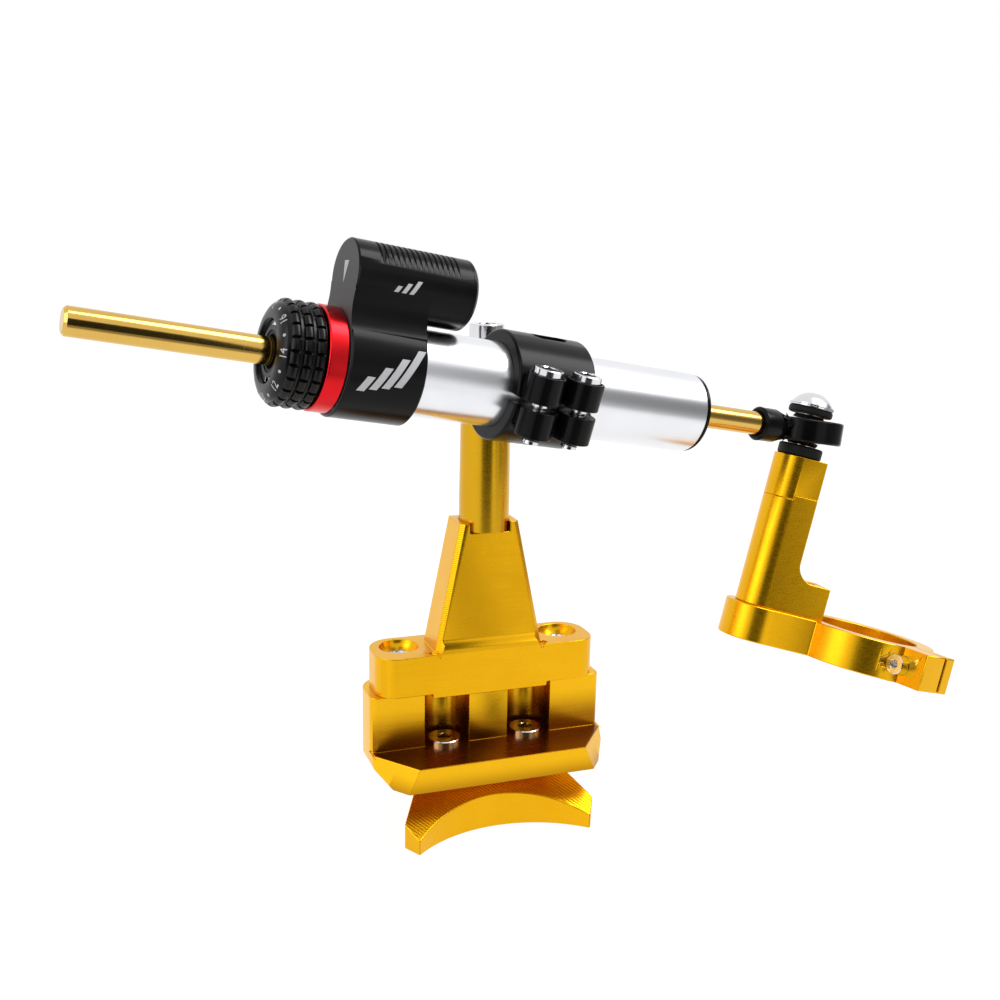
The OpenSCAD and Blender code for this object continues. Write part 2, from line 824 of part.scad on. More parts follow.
// Post that carries the pivot
module post() {
    edge = 0.6;
    clear = 3;
    color([0.86, 0.62, 0.08]) difference() {
        rotate_extrude() polygon([[0, post_foot_z], [post_d/2, post_foot_z], [post_d/2, post_step_z],
            [post_top_d/2, post_top-edge], [post_top_d/2-edge, post_top], [0, post_top]]);
        bar_z(m8_r+fit_gap, post_top-pbolt_deep-clear, post_top+1);
        bar_z(m8_r+fit_gap, post_foot_z-1, post_foot_z+pscrew_deep+clear);
    }
}

// Screw that holds the post from below
module post_screw() {
    seat = ub_bottom+m8+2;
    color([0.75, 0.75, 0.77]) translate([0, 0, seat]) mirror([0, 0, 1])
        socket_screw(m8_r, m8_head_d, m8, m8_key, post_foot_z-seat+pscrew_deep);
}

// Block with rounded upright corners, front radius and back radius
module round_block(half_w, y0, y1, z0, z1, rf, rb) {
    mid = y0+rf;
    translate([-half_w+rf, y0, z0]) cube([2*(half_w-rf), rf, z1-z0]);
    translate([-half_w, mid, z0]) cube([2*half_w, y1-rb-mid, z1-z0]);
    translate([-half_w+rb, y1-rb, z0]) cube([2*(half_w-rb), rb, z1-z0]);
    for (side = [-1, 1]) {
        translate([side*(half_w-rf), mid, 0]) bar_z(rf, z0, z1);
        translate([side*(half_w-rb), y1-rb, 0]) bar_z(rb, z0, z1);
    }
}

// Wedge that cuts one front edge of the tower
module tower_strip() {
    high = tower_top-ub_top;
    lean = atan2(tower_foot_w-tower_top_w, high);
    tip = atan2(tower_foot_y-tower_top_y, high);
    translate([tower_foot_w, -tower_foot_y, ub_top]) rotate([-tip, -lean, 0]) rotate([0, 0, 45])
        translate([-strip, -strip/2, -1]) cube([2*strip, strip, 2*high]);
}

// Tapered tower body before the holes
module tower_body() {
    high = tower_top-ub_top;
    intersection() {
        translate([0, 2*tower_foot_y, ub_top-1]) rotate([90, 0, 0]) linear_extrude(4*tower_foot_y)
            polygon([[-tower_foot_w, 0], [tower_foot_w, 0], [tower_foot_w, 1],
                [tower_top_w, high+1], [-tower_top_w, high+1], [-tower_foot_w, 1]]);
        translate([-2*tower_foot_w, 0, ub_top-1]) rotate([90, 0, 90]) linear_extrude(4*tower_foot_w)
            polygon([[-tower_foot_y, 0], [tower_back_y, 0], [tower_back_y, 1],
                [tower_top_y, high+1], [-tower_top_y, high+1], [-tower_foot_y, 1]]);
    }
}

// Bend between the tower front and the block front
module tower_bend() {
    reach = -tower_foot_y-ub_front;
    translate([-tower_foot_w, 0, 0]) rotate([90, 0, 90]) linear_extrude(2*tower_foot_w)
        polygon([[ub_front, ub_top-1], [ub_front, ub_top], [ub_front+0.3*reach, ub_top+0.25*bend_h],
            [ub_front+0.7*reach, ub_top+0.65*bend_h], [-tower_foot_y+0.4, ub_top+bend_h],
            [0, ub_top+bend_h], [0, ub_top-1]]);
}

// Tower in one piece with the upper block
module tower() {
    seat = ub_bottom+m8+2;
    color([0.86, 0.62, 0.08]) difference() {
        union() {
            round_block(ub_w, ub_front, ub_back, ub_bottom, ub_top, ub_round, back_round);
            intersection() {
                tower_bend();
                translate([0, 2*ub_back, ub_top-1]) rotate([90, 0, 0]) linear_extrude(4*ub_back)
                    polygon([[-tower_foot_w, 0], [tower_foot_w, 0], [tower_top_w, tower_top-ub_top],
                        [-tower_top_w, tower_top-ub_top]]);
            }
            tower_body();
            translate([-tongue_w, ub_front, ub_bottom-tongue_h])
                cube([2*tongue_w, ub_back-ub_front, tongue_h+1]);
        }
        for (side = [0, 1]) mirror([side, 0, 0]) tower_strip();
        bar_z(post_d/2+fit_gap, post_foot_z, tower_top+1);
        translate([-notch_w, -2*tower_foot_y, post_foot_z])
            cube([2*notch_w, 2*tower_foot_y, tower_top]);
        bar_z(m8_r+hole_gap, ub_bottom-tongue_h-1, tower_top);
        bar_z(m8_head_d/2+head_gap, ub_bottom-tongue_h-1, seat);
        for (x = [-ear_x, ear_x]) translate([x, ear_y, 0]) {
            bar_z(m5_r+hole_gap, ub_bottom-1, ub_top+1);
            bar_z(m5_head_d/2+head_gap, ub_top-ear_cbore_d, ub_top+1);
            translate([0, 0, ub_top+sqrt(ear_dish_r*ear_dish_r-ear_cbore_r*ear_cbore_r)])
                sphere(r = ear_dish_r);
        }
    }
}

// Screws through the ears of the upper block
module ear_screws() {
    color([0.8, 0.8, 0.82]) for (x = [-ear_x, ear_x]) translate([x, ear_y, ub_top-ear_cbore_d])
        socket_screw(m5_r, m5_head_d, m5, m5_key, ub_top-ear_cbore_d-ub_bottom+ear_grip);
}

// Ledge with leaning corner planes
module ledge() {
    turn = atan2(ledge_side_y-ledge_front, lb_w-ledge_w);
    difference() {
        translate([-lb_w, ledge_front, lb_bottom]) cube([2*lb_w, -ledge_front, ledge_top-lb_bottom]);
        for (side = [0, 1]) mirror([side, 0, 0]) translate([ledge_w, ledge_front, ledge_top])
            rotate([0, 0, turn]) rotate([-ledge_lean, 0, 0])
                translate([-lb_w, -lb_w, -lb_w]) cube([2*lb_w, lb_w, 2*lb_w]);
    }
}

// Lower block with ledge, two channels and a pocket for the tongue
module lower_block() {
    pocket = 0.2;
    color([0.86, 0.62, 0.08]) difference() {
        union() {
            round_block(lb_w, lb_front, ub_back, lb_bottom, ub_bottom, lb_round, back_round);
            ledge();
        }
        for (x = [-base_x, base_x]) translate([x, base_y, 0]) {
            bar_z(channel_r, ledge_top, ub_bottom+1);
            translate([-channel_r, lb_front-base_y-1, ledge_top])
                cube([2*channel_r, base_y-lb_front+1, ub_bottom]);
            bar_z(m6_head_d/2+head_gap, ledge_top-seat_d, ledge_top+1);
            bar_z(m6_r+hole_gap, lb_bottom-1, ledge_top);
        }
        translate([-tongue_w-pocket, lb_front-1, ub_bottom-tongue_h-pocket])
            cube([2*(tongue_w+pocket), ub_back-lb_front+2, tongue_h+pocket+1]);
        for (x = [-ear_x, ear_x]) translate([x, ear_y, 0])
            bar_z(m5_r+fit_gap, ub_bottom-ear_grip-2, ub_bottom+1);
        for (side = [0, 1]) mirror([side, 0, 0]) translate([0, ub_back+1, 0]) rotate([90, 0, 0])
            linear_extrude(ub_back-ledge_front+2)
                polygon([[lb_w-lb_chamfer, lb_bottom-1], [lb_w+1, lb_bottom-1],
                    [lb_w+1, lb_bottom+lb_chamfer], [lb_w, lb_bottom+lb_chamfer],
                    [lb_w-lb_chamfer, lb_bottom]]);
    }
}

// Two screws that hold the lower block on the arc plate
module base_screws() {
    seat = ledge_top-seat_d;
    color([0.8, 0.8, 0.82]) for (x = [-base_x, base_x]) translate([x, base_y, seat])
        socket_screw(m6_r, m6_head_d, m6, m6_key, seat-base_tip);
}

// Arc plate with sloped top and hollow front
module arc_plate() {
    slope_end = foot_front+(lb_bottom-foot_t)/arc_slope;
    color([0.86, 0.62, 0.08]) difference() {
        intersection() {
            linear_extrude(lb_bottom)
                polygon([[-foot_w, foot_front], [foot_w, foot_front], [foot_corner_w, foot_corner_y],
                    [arc_back_w, arc_back_y], [arc_root_w, arc_root_y], [arc_root_w, ub_back],
                    [-arc_root_w, ub_back], [-arc_root_w, arc_root_y], [-arc_back_w, arc_back_y],
                    [-foot_corner_w, foot_corner_y]]);
            translate([-2*foot_w, 0, 0]) rotate([90, 0, 90]) linear_extrude(4*foot_w)
                polygon([[foot_front-1, 0], [foot_front-1, foot_t-arc_slope], [slope_end, lb_bottom],
                    [ub_back+1, lb_bottom], [ub_back+1, 0]]);
        }
        translate([0, arc_y-arc_r, 0]) bar_z(arc_r, -1, lb_bottom+1);
        for (x = [-base_x, base_x]) translate([x, base_y, 0])
            bar_z(m6_r+fit_gap, base_tip-2, lb_bottom+1);
    }
}

// Rod end with barrel, waist and eye
module rod_end() {
    neck_x = -eye_r-3;
    neck_end = -erace_r-1;
    left = barrel_left-eye_x;
    right = rod_right-eye_x;
    stub = stub_left-eye_x;
    color([0.05, 0.05, 0.055]) eye_frame() difference() {
        union() {
            lathe([[0, left], [barrel_r-0.5, left], [barrel_r, left+0.5], [barrel_r, neck_x],
                [waist_neck_r, -eye_r], [eye_h/2, neck_end], [0, neck_end]]);
            bar_z(eye_r, -eye_h/2, eye_h/2);
        }
        bar_x(rod_r+fit_gap, left-1, stub+fit_gap);
        bar_x(stub_r+fit_gap, left, right+loose_gap);
        bar_z(erace_r+fit_gap, -eye_h, eye_h);
    }
}

// Race of the rod end bearing
module rod_end_race() {
    color([0.6, 0.55, 0.42]) eye_frame() difference() {
        bar_z(erace_r, -eye_h/2, eye_h/2);
        sphere(r = eball_r+run_gap);
    }
}

// Ball of the rod end with its necks
module rod_end_ball() {
    color([0.8, 0.8, 0.82]) arm_frame() difference() {
        union() {
            intersection() {
                sphere(r = eball_r);
                bar_z(2*eball_r, -eball_hw, eball_hw);
            }
            bar_z(eneck_r, collar_top, eneck_top);
        }
        bar_z(m8_r+run_gap, collar_top-1, eneck_top+1);
    }
}

// Rubber dust seals above and below the eye
module dust_seals() {
    face = eye_h/2+dust_gap;
    color([0.03, 0.03, 0.03]) arm_frame() {
        difference() {
            bar_z(dust_r, face, eneck_top);
            bar_z(eneck_r+fit_gap, 0, 2*eneck_top);
            sphere(r = eball_r+run_gap);
        }
        difference() {
            bar_z(dust_r, collar_top, -face);
            bar_z(eneck_r+fit_gap, 2*collar_top, 0);
            sphere(r = eball_r+run_gap);
        }
    }
}

// Dome head screw through the rod end
module dome_screw() {
    ball = (dome_r*dome_r+dome_h*dome_h)/(2*dome_h);
    color([0.85, 0.85, 0.87]) arm_frame() difference() {
        union() {
            intersection() {
                translate([0, 0, dome_z+dome_h-ball]) sphere(r = ball);
                bar_z(2*ball, dome_z, dome_z+2*ball);
            }
            bar_z(m8_r, -dome_deep, dome_z+1);
        }
        hex_z(m6_key, dome_z+dome_h-2.6, dome_z+dome_h+1);
    }
}

// Two washers under the dome head
module arm_washers() {
    color([0.82, 0.82, 0.84]) arm_frame() for (i = [0, 1])
        translate([0, 0, eneck_top+i*awasher_t]) difference() {
            bar_z(awasher_r, i*fit_gap, awasher_t);
            bar_z(m8_r+fit_gap, -1, awasher_t+1);
        }
}

// Round half and flat half of the arm section
module arm_section(z0, z1) {
    bar_z(arm_r, z0, z1);
    translate([0, -arm_r, z0]) cube([arm_r, 2*arm_r, z1-z0]);
}

// Collar between rod end and arm, stepped at the joint
module collar() {
    color([0.86, 0.62, 0.08]) plate_frame() difference() {
        arm_section(collar_bottom, collar_top);
        translate([0, -2*arm_r, collar_bottom-1]) cube([2*arm_r, 4*arm_r, joint_step+1]);
        bar_z(m8_r+fit_gap, collar_bottom-1, collar_top+1);
    }
}

// Upright arm with its foot on the fork plate
module arm() {
    foot_top = plate_top+foot_h;
    color([0.86, 0.62, 0.08]) plate_frame() difference() {
        union() {
            arm_section(plate_top, collar_bottom);
            translate([0, -arm_r, collar_bottom-1]) cube([arm_r, 2*arm_r, joint_step+1]);
            translate([0, -arm_r, plate_top]) cube([foot_len, 2*arm_r, foot_h]);
            difference() {
                translate([arm_r-1, -arm_r, foot_top-1]) cube([foot_fillet+1, 2*arm_r, foot_fillet+1]);
                translate([arm_r+foot_fillet, 2*arm_r, foot_top+foot_fillet]) rotate([90, 0, 0])
                    cylinder(r = foot_fillet, h = 4*arm_r);
            }
        }
        bar_z(m8_r+fit_gap, -dome_deep-3, collar_bottom+joint_step+1);
        translate([foot_screw_x, 0, 0]) {
            bar_z(m6_r+hole_gap, plate_top-1, foot_top+1);
            bar_z(m6_head_d/2+head_gap, plate_top+foot_h/2, foot_top+foot_fillet+1);
        }
    }
}

// Screw that holds the arm on the fork plate
module foot_screw() {
    seat = plate_top+foot_h/2;
    color([0.8, 0.8, 0.82]) plate_frame() translate([foot_screw_x, 0, seat])
        socket_screw(m6_r, m6_head_d, m6, m6_key, seat-plate_bottom-2);
}

// Fork plate with drum, neck, ring and split tail
module fork_plate() {
    color([0.86, 0.62, 0.08]) plate_frame() difference() {
        intersection() {
            union() {
                bar_z(drum_r, plate_bottom-overshoot, plate_top+overshoot);
                translate([fork_x, 0, 0])
                    bar_z(fork_ring_r, plate_bottom-overshoot, plate_top+overshoot);
                translate([0, -neck_w, plate_bottom-2*overshoot])
                    cube([neck_len, 2*neck_w, plate_t+4*overshoot]);
                translate([fork_x, 0, plate_bottom-3*overshoot]) rotate([0, 0, -tail_turn])
                    translate([0, -tail_near, 0])
                        cube([tail_len, tail_near+tail_far, plate_t+6*overshoot]);
            }
            bar_z(fork_x+fork_ring_r+tail_len, plate_bottom, plate_top);
        }
        translate([fork_x, 0, 0]) {
            bar_z(fork_r, plate_bottom-1, plate_top+1);
            rotate([0, 0, -tail_turn]) {
                translate([0, tail_slit_y-tail_slit/2, plate_bottom-1])
                    cube([2*tail_len, tail_slit, plate_t+2]);
                translate([pinch_x, 0, plate_top-plate_t/2]) rotate([90, 0, 0]) {
                    bar_z(m4_head_d/2+head_gap, pinch_seat, 5*pinch_seat);
                    bar_z(m4_r+hole_gap, -tail_slit_y, 2*pinch_seat);
                    bar_z(m4_r+fit_gap, -2*tail_far, -tail_slit_y);
                }
            }
        }
        translate([foot_screw_x, 0, 0]) bar_z(m6_r+fit_gap, plate_bottom+1, plate_top+1);
    }
}

// Screw that closes the split tail on the fork tube
module pinch_screw() {
    color([0.8, 0.8, 0.82]) plate_frame() translate([fork_x, 0, 0]) rotate([0, 0, -tail_turn])
        translate([pinch_x, -pinch_seat, plate_top-plate_t/2]) rotate([90, 0, 0])
            socket_screw(m4_r, m4_head_d, m4, m4_key, pinch_seat+tail_far-1);
}

rod();
piston();
piston_ring();
tube();
head();
reservoir_cap();
floating_piston();
adjuster_knob();
knob_circlip();
dust_cup();
red_ring();
guide_bush_left();
guide_bush_right();
rod_seal_left();
rod_seal_right();
end_cap();
end_cap_ring();
clamp();
clamp_screws();
pivot_race();
pivot_ball();
pivot_spacers();
pivot_washer();
pivot_bolt();
post();
post_screw();
tower();
ear_screws();
lower_block();
base_screws();
arc_plate();
rod_end();
rod_end_race();
rod_end_ball();
dust_seals();
dome_screw();
arm_washers();
collar();
arm();
foot_screw();
fork_plate();
pinch_screw();
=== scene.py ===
# %% [markdown]
# # A steering damper kit, dressed for a studio picture
# The real object is a motorcycle steering damper. A slim hydraulic damper sits in a
# split clamp on a gold bracket, and an arm reaches from the rod down to the fork tube.
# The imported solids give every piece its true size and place. This lesson adds what the
# solids lack: broken edges, finishes, screw details, dial marks and light.

# %% Load the frame
import json
import math

import bmesh
import bpy
from mathutils import Matrix, Vector

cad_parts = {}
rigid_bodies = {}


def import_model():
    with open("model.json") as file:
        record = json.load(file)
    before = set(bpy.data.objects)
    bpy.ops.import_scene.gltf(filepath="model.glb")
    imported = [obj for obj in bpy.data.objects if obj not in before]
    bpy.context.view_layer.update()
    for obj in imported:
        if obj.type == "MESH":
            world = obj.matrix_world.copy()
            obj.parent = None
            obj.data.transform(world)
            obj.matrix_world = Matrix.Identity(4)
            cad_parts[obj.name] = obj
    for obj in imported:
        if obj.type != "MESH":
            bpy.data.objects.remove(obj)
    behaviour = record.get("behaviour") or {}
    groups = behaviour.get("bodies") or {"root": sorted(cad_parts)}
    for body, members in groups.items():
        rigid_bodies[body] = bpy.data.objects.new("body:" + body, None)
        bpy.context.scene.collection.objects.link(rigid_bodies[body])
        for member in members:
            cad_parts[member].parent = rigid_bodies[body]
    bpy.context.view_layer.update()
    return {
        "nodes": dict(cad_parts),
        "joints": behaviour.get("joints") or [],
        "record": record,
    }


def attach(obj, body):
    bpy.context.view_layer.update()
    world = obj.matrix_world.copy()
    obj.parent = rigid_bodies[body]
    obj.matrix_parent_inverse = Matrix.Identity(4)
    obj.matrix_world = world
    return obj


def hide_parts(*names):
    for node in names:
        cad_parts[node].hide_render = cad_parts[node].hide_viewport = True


MM = 0.001
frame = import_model()
nodes = frame["nodes"]
body_of_node = {node: body for body, members in frame["record"]["behaviour"]["bodies"].items()
                for node in members}
joints = {joint["name"]: joint for joint in frame["joints"]}
scene = bpy.context.scene
scene.view_settings.view_transform = "Standard"

# %% [markdown]
# The damper lies askew on its bracket, so most of its pieces are easier to place in the
# damper's own axes. The joints already hold those axes: the rod slides along one of them
# and the clamp tilts about another. A matrix built from them takes a point from
# "along the rod, across, up" to the world. The fork arm leans a little in its ball joint.

# %% Axes of the damper, the head, the clamp and the fork arm
EYE_ALONG_ROD, FORK_ALONG_PLATE = 126 * MM, 44.6 * MM
HEAD_ROLL, CLAMP_ROLL = 2, 9
ARM_LEAN, ARM_ROLL, PLATE_TURN, TAIL_TURN = 6, -2, -26, -60
PINCH_ON_TAIL = Vector((26.2, -5.5, -78)) * MM
rod_dir = Vector(joints["rod_slide"]["axis"])
across_dir = Vector(joints["damper_tilt"]["axis"])
up_dir = rod_dir.cross(across_dir)
eye = Vector(joints["arm_spin"]["pos_m"])


def axes_at(origin):
    """Matrix from damper axes, with the given origin, to the world."""
    turn = Matrix((rod_dir, across_dir, up_dir)).transposed().to_4x4()
    return Matrix.Translation(origin) @ turn


def turned(matrix, degrees, axis):
    """The same axes after a turn about one of them."""
    return matrix @ Matrix.Rotation(math.radians(degrees), 4, axis)


damper = axes_at(eye - EYE_ALONG_ROD * rod_dir)
head_axes = turned(damper, HEAD_ROLL, "X")
clamp_axes = turned(damper, CLAMP_ROLL, "X")
arm_axes = turned(turned(axes_at(eye), ARM_LEAN, "Y"), ARM_ROLL, "X")
plate_axes = turned(arm_axes, PLATE_TURN, "Z")
tail_axes = turned(plate_axes @ Matrix.Translation((FORK_ALONG_PLATE, 0, 0)), TAIL_TURN, "Z")
pinch_seat = tail_axes @ PINCH_ON_TAIL
print("rod direction", [round(x, 3) for x in rod_dir])

# %% [markdown]
# The camera comes first, because every later choice is judged through it. Its place and
# lens were worked out from the straight edges and round heads in the photograph, so the
# picture has the same perspective. A small roll levels it with the photograph.

# %% Camera
CAMERA_AT = Vector((-151.76, -430.95, 231.74)) * MM
CAMERA_FORWARD = Vector((0.3356, 0.9144, -0.2263)).normalized()
CAMERA_ROLL = math.radians(1.08)
SENSOR = 36.0
FOCAL_SHARE = 1.23771
camera_right = CAMERA_FORWARD.cross(Vector((0, 0, 1))).normalized()
camera_up = camera_right.cross(CAMERA_FORWARD)
rolled_right = camera_right * math.cos(CAMERA_ROLL) + camera_up * math.sin(CAMERA_ROLL)
rolled_up = camera_up * math.cos(CAMERA_ROLL) - camera_right * math.sin(CAMERA_ROLL)
camera = bpy.data.objects.new("camera", bpy.data.cameras.new("camera"))
scene.collection.objects.link(camera)
camera.data.sensor_width = SENSOR
camera.data.lens = SENSOR * FOCAL_SHARE
camera.data.clip_start, camera.data.clip_end = 0.01, 50
turn = Matrix((rolled_right, rolled_up, -CAMERA_FORWARD)).transposed().to_4x4()
camera.matrix_world = Matrix.Translation(CAMERA_AT) @ turn
scene.camera = camera
print("lens", round(camera.data.lens, 2))

# %% [markdown]
# Finishes are node trees, and node trees get long when they are wired by hand. One small
# class wraps an output socket, so that sums can be written as Python. Any other node
# comes from its one method, which sets the node up and then fills its sockets.


# %% A wire between nodes
class Wire:
    """One output of a node tree. Sums on wires add Math nodes."""

    def __init__(self, tree, socket):
        self.tree = tree
        self.socket = socket

    @staticmethod
    def node(tree, kind, settings=None, sockets=None, output=0):
        """Adds a node, sets it up, fills its sockets and gives back one output."""
        made = tree.nodes.new(kind)
        for key, value in (settings or {}).items():
            setattr(made, key, value)
        for key, value in (sockets or {}).items():
            for item in value if isinstance(value, list) else [value]:
                if isinstance(item, Wire):
                    tree.links.new(item.socket, made.inputs[key])
                else:
                    made.inputs[key].default_value = item
        return Wire(tree, made.outputs[output]) if made.outputs else made

    def math(self, operation, first, second):
        return Wire.node(self.tree, "ShaderNodeMath", {"operation": operation},
                         {0: first, 1: second})

    def __add__(self, other):
        return self.math("ADD", self, other)

    def __sub__(self, other):
        return self.math("SUBTRACT", self, other)

    def __rsub__(self, other):
        return self.math("SUBTRACT", other, self)

    def __mul__(self, other):
        return self.math("MULTIPLY", self, other)

    def __truediv__(self, other):
        return self.math("DIVIDE", self, other)

    def __gt__(self, other):
        return self.math("GREATER_THAN", self, other)

    def __lt__(self, other):
        return self.math("LESS_THAN", self, other)

    __radd__ = __add__
    __rmul__ = __mul__


print("wire ready")

# %% [markdown]
# A studio picture on white needs a floor that is white to the camera but still takes a
# soft shadow. This one mixes white light with a plain diffuse surface for rays that come
# from the camera or from a reflection. One side of the room is dim, as in a real studio,
# and polished metal shows it as a grey band between white ones. The floor also carries
# painted shade that only reflections see: it is darker far out on that dim side and round
# the foot of the camera stand.

# %% Floor
FLOOR_DROP, FLOOR_HALF = 0.3 * MM, 6.0
FLOOR_WHITE, FLOOR_MATT = 0.9, 0.9
GLOW, SHADOW_SHARE = 1.13, 0.18
floor_mesh = bpy.data.meshes.new("floor")
floor_mesh.from_pydata([(x * FLOOR_HALF, y * FLOOR_HALF, -FLOOR_DROP) for x, y in
                        ((-1, -1), (1, -1), (1, 1), (-1, 1))], [], [(0, 1, 2, 3)])
floor = bpy.data.objects.new("floor", floor_mesh)
scene.collection.objects.link(floor)


def ray_is(tree, kind):
    """1 for rays of one kind, such as Camera or Glossy."""
    return Wire.node(tree, "ShaderNodeLightPath", {}, {}, f"Is {kind} Ray")


def seen_directly(tree):
    """1 for rays of the camera, of reflections and of transmission."""
    return ray_is(tree, "Camera") + ray_is(tree, "Glossy") + ray_is(tree, "Transmission") > 0.5


def ramp(tree, wire, low, high):
    """A soft step from 0 at low to 1 at high."""
    return Wire.node(tree, "ShaderNodeMapRange", {"interpolation_type": "SMOOTHSTEP"},
                     {"Value": wire, "From Min": low, "From Max": high})


def vector_value(tree, operation, *vectors):
    """One number from vectors, such as a length or a distance."""
    return Wire.node(tree, "ShaderNodeVectorMath", {"operation": operation},
                     dict(enumerate(vectors)), "Value")


print("floor", FLOOR_HALF * 2, "m wide")

# %% Floor paint
ROOM_GREY = 0.2
ROOM_SIDE = Vector((0.94, -0.34, 0)).normalized()
ROOM_EDGE = (0.74, 0.83)
FAR_FLOOR = (0.5, 0.85)
STAND = Vector((-0.06, -0.47, 0))
STAND_FADE = (0.24, 0.15)


def dim_side(tree, spot):
    """Share of a direction or place that lies on the dim side of the room."""
    heading = Wire.node(tree, "ShaderNodeVectorMath", {"operation": "NORMALIZE"}, {0: spot}, "Vector")
    return ramp(tree, vector_value(tree, "DOT_PRODUCT", heading, tuple(ROOM_SIDE)), *ROOM_EDGE)


floor_paint = bpy.data.materials.new("floor_white")
floor_paint.use_nodes = True
tree = floor_paint.node_tree
tree.nodes.clear()
shade = Wire.node(tree, "ShaderNodeBsdfDiffuse", {}, {"Color": (FLOOR_WHITE,) * 3 + (1,),
                                                      "Roughness": FLOOR_MATT})
spot = Wire.node(tree, "ShaderNodeTexCoord", {}, {}, "Object")
# Painted shade that only reflections see: the floor is darker far out on the dim side and round the foot
# of the camera stand.
far_painted_shade = dim_side(tree, spot) * ramp(tree, vector_value(tree, "LENGTH", spot), *FAR_FLOOR)
stand_painted_shade = ramp(tree, vector_value(tree, "DISTANCE", spot, tuple(STAND)), *STAND_FADE)
dim = ray_is(tree, "Glossy") * (1 - (1 - far_painted_shade) * (1 - stand_painted_shade)) * (1 - ROOM_GREY)
glow = Wire.node(tree, "ShaderNodeEmission", {}, {"Color": (1, 1, 1, 1),
                                                  "Strength": GLOW * (1 - dim)})
mixed = Wire.node(tree, "ShaderNodeMixShader", {}, {0: seen_directly(tree) * (1 - SHADOW_SHARE),
                                                    1: shade, 2: glow})
Wire.node(tree, "ShaderNodeOutputMaterial", {}, {"Surface": mixed})
floor_paint.cycles.emission_sampling = "NONE"
floor_mesh.materials.append(floor_paint)
print("floor paint nodes", len(tree.nodes))

# %% [markdown]
# Polished gold looks rich only where it also mirrors something dark. Behind a real
# camera hangs a black cloth, and the rod, the post and the fork arm show it as a dark
# band. Here it is one black plate that only reflections see, so that other cameras look
# through it and the light stays even.

# %% Cloth behind the camera
CLOTH_LEFT, CLOTH_RIGHT, CLOTH_TALL, CLOTH_Y = -0.34, 0.13, 0.42, -0.5
CLOTH_BLACK, WEAVE_SCALE = 0.01, 900.0
cloth_mesh = bpy.data.meshes.new("camera_cloth")
cloth_mesh.from_pydata([(x, CLOTH_Y, z) for x, z in (
    (CLOTH_LEFT, 0), (CLOTH_RIGHT, 0), (CLOTH_RIGHT, CLOTH_TALL), (CLOTH_LEFT, CLOTH_TALL))],
    [], [(0, 1, 2, 3)])
cloth = bpy.data.objects.new("camera_cloth", cloth_mesh)
scene.collection.objects.link(cloth)
cloth.visible_camera = cloth.visible_diffuse = cloth.visible_shadow = False
cloth_paint = bpy.data.materials.new("black_cloth")
cloth_paint.use_nodes = True
tree = cloth_paint.node_tree
weave = Wire.node(tree, "ShaderNodeTexNoise", {}, {"Scale": WEAVE_SCALE}, "Fac")
cloth_shader = tree.nodes["Principled BSDF"]
cloth_shader.inputs["Base Color"].default_value = (CLOTH_BLACK,) * 3 + (1,)
tree.links.new((weave * 0.2 + 0.8).socket, cloth_shader.inputs["Roughness"])
cloth_mesh.materials.append(cloth_paint)
print("cloth", CLOTH_RIGHT - CLOTH_LEFT, "m wide")

# %% [markdown]
# The world is the white room. The camera sees it white all round, reflections see its
# dim side, and everything else gets a weaker fill, so that shadows stay soft but visible.
# Two large area lamps, as soft boxes in a studio, then model the round shapes.

# %% World
WORLD_FILL = 0.5
ROOM_TOP = (0.5, 0.36)
world = bpy.data.worlds.new("studio")
scene.world = world
world.cycles.sampling_method = "NONE"
world.use_nodes = True
tree = world.node_tree
tree.nodes.clear()
ray = Wire.node(tree, "ShaderNodeTexCoord", {}, {}, "Generated")
height = Wire.node(tree, "ShaderNodeSeparateXYZ", {}, {0: ray}, "Z")
dim = ray_is(tree, "Glossy") * dim_side(tree, ray) * ramp(tree, height, *ROOM_TOP)
room = 1 - dim * (1 - ROOM_GREY)
direct = seen_directly(tree)
strength = direct * room + (1 - direct) * WORLD_FILL
back = Wire.node(tree, "ShaderNodeBackground", {}, {"Color": (1, 1, 1, 1), "Strength": strength})
Wire.node(tree, "ShaderNodeOutputWorld", {}, {"Surface": back})
print("world fill", WORLD_FILL)

# %% Lamps


def soft_box(name, place, aim, width, height, power):
    """A large area lamp that looks at a point."""
    lamp = bpy.data.lights.new(name, "AREA")
    lamp.shape, lamp.size, lamp.size_y, lamp.energy = "RECTANGLE", width, height, power
    box = bpy.data.objects.new(name, lamp)
    scene.collection.objects.link(box)
    look = (Vector(aim) - Vector(place)).to_track_quat("-Z", "Y")
    box.matrix_world = Matrix.Translation(place) @ look.to_matrix().to_4x4()
    return box


AIM = (0, 0, 0.11)
soft_box("top_box", (0.70, -0.25, 1.15), AIM, 0.55, 1.0, 12)
soft_box("left_box", (-1.1, -0.3, 0.7), AIM, 0.7, 0.9, 4)
print("lamps 2")

# %% [markdown]
# A finish is more than a colour. Anodised aluminium keeps the fine marks of the cutter
# under its dye, so its gloss and its normals vary along those marks. Each finish here
# starts from one helper, which sets the constant values on the shader's own sockets and
# offers a stretched noise, because cutter marks are noise pulled out along one direction.


# %% Finish helper
def linear(red, green, blue):
    """A screen colour from 0 to 255 as the linear value that the shader wants."""
    parts = [part / 255 for part in (red, green, blue)]
    return tuple(part / 12.92 if part < 0.04 else ((part + 0.055) / 1.055) ** 2.4 for part in parts)


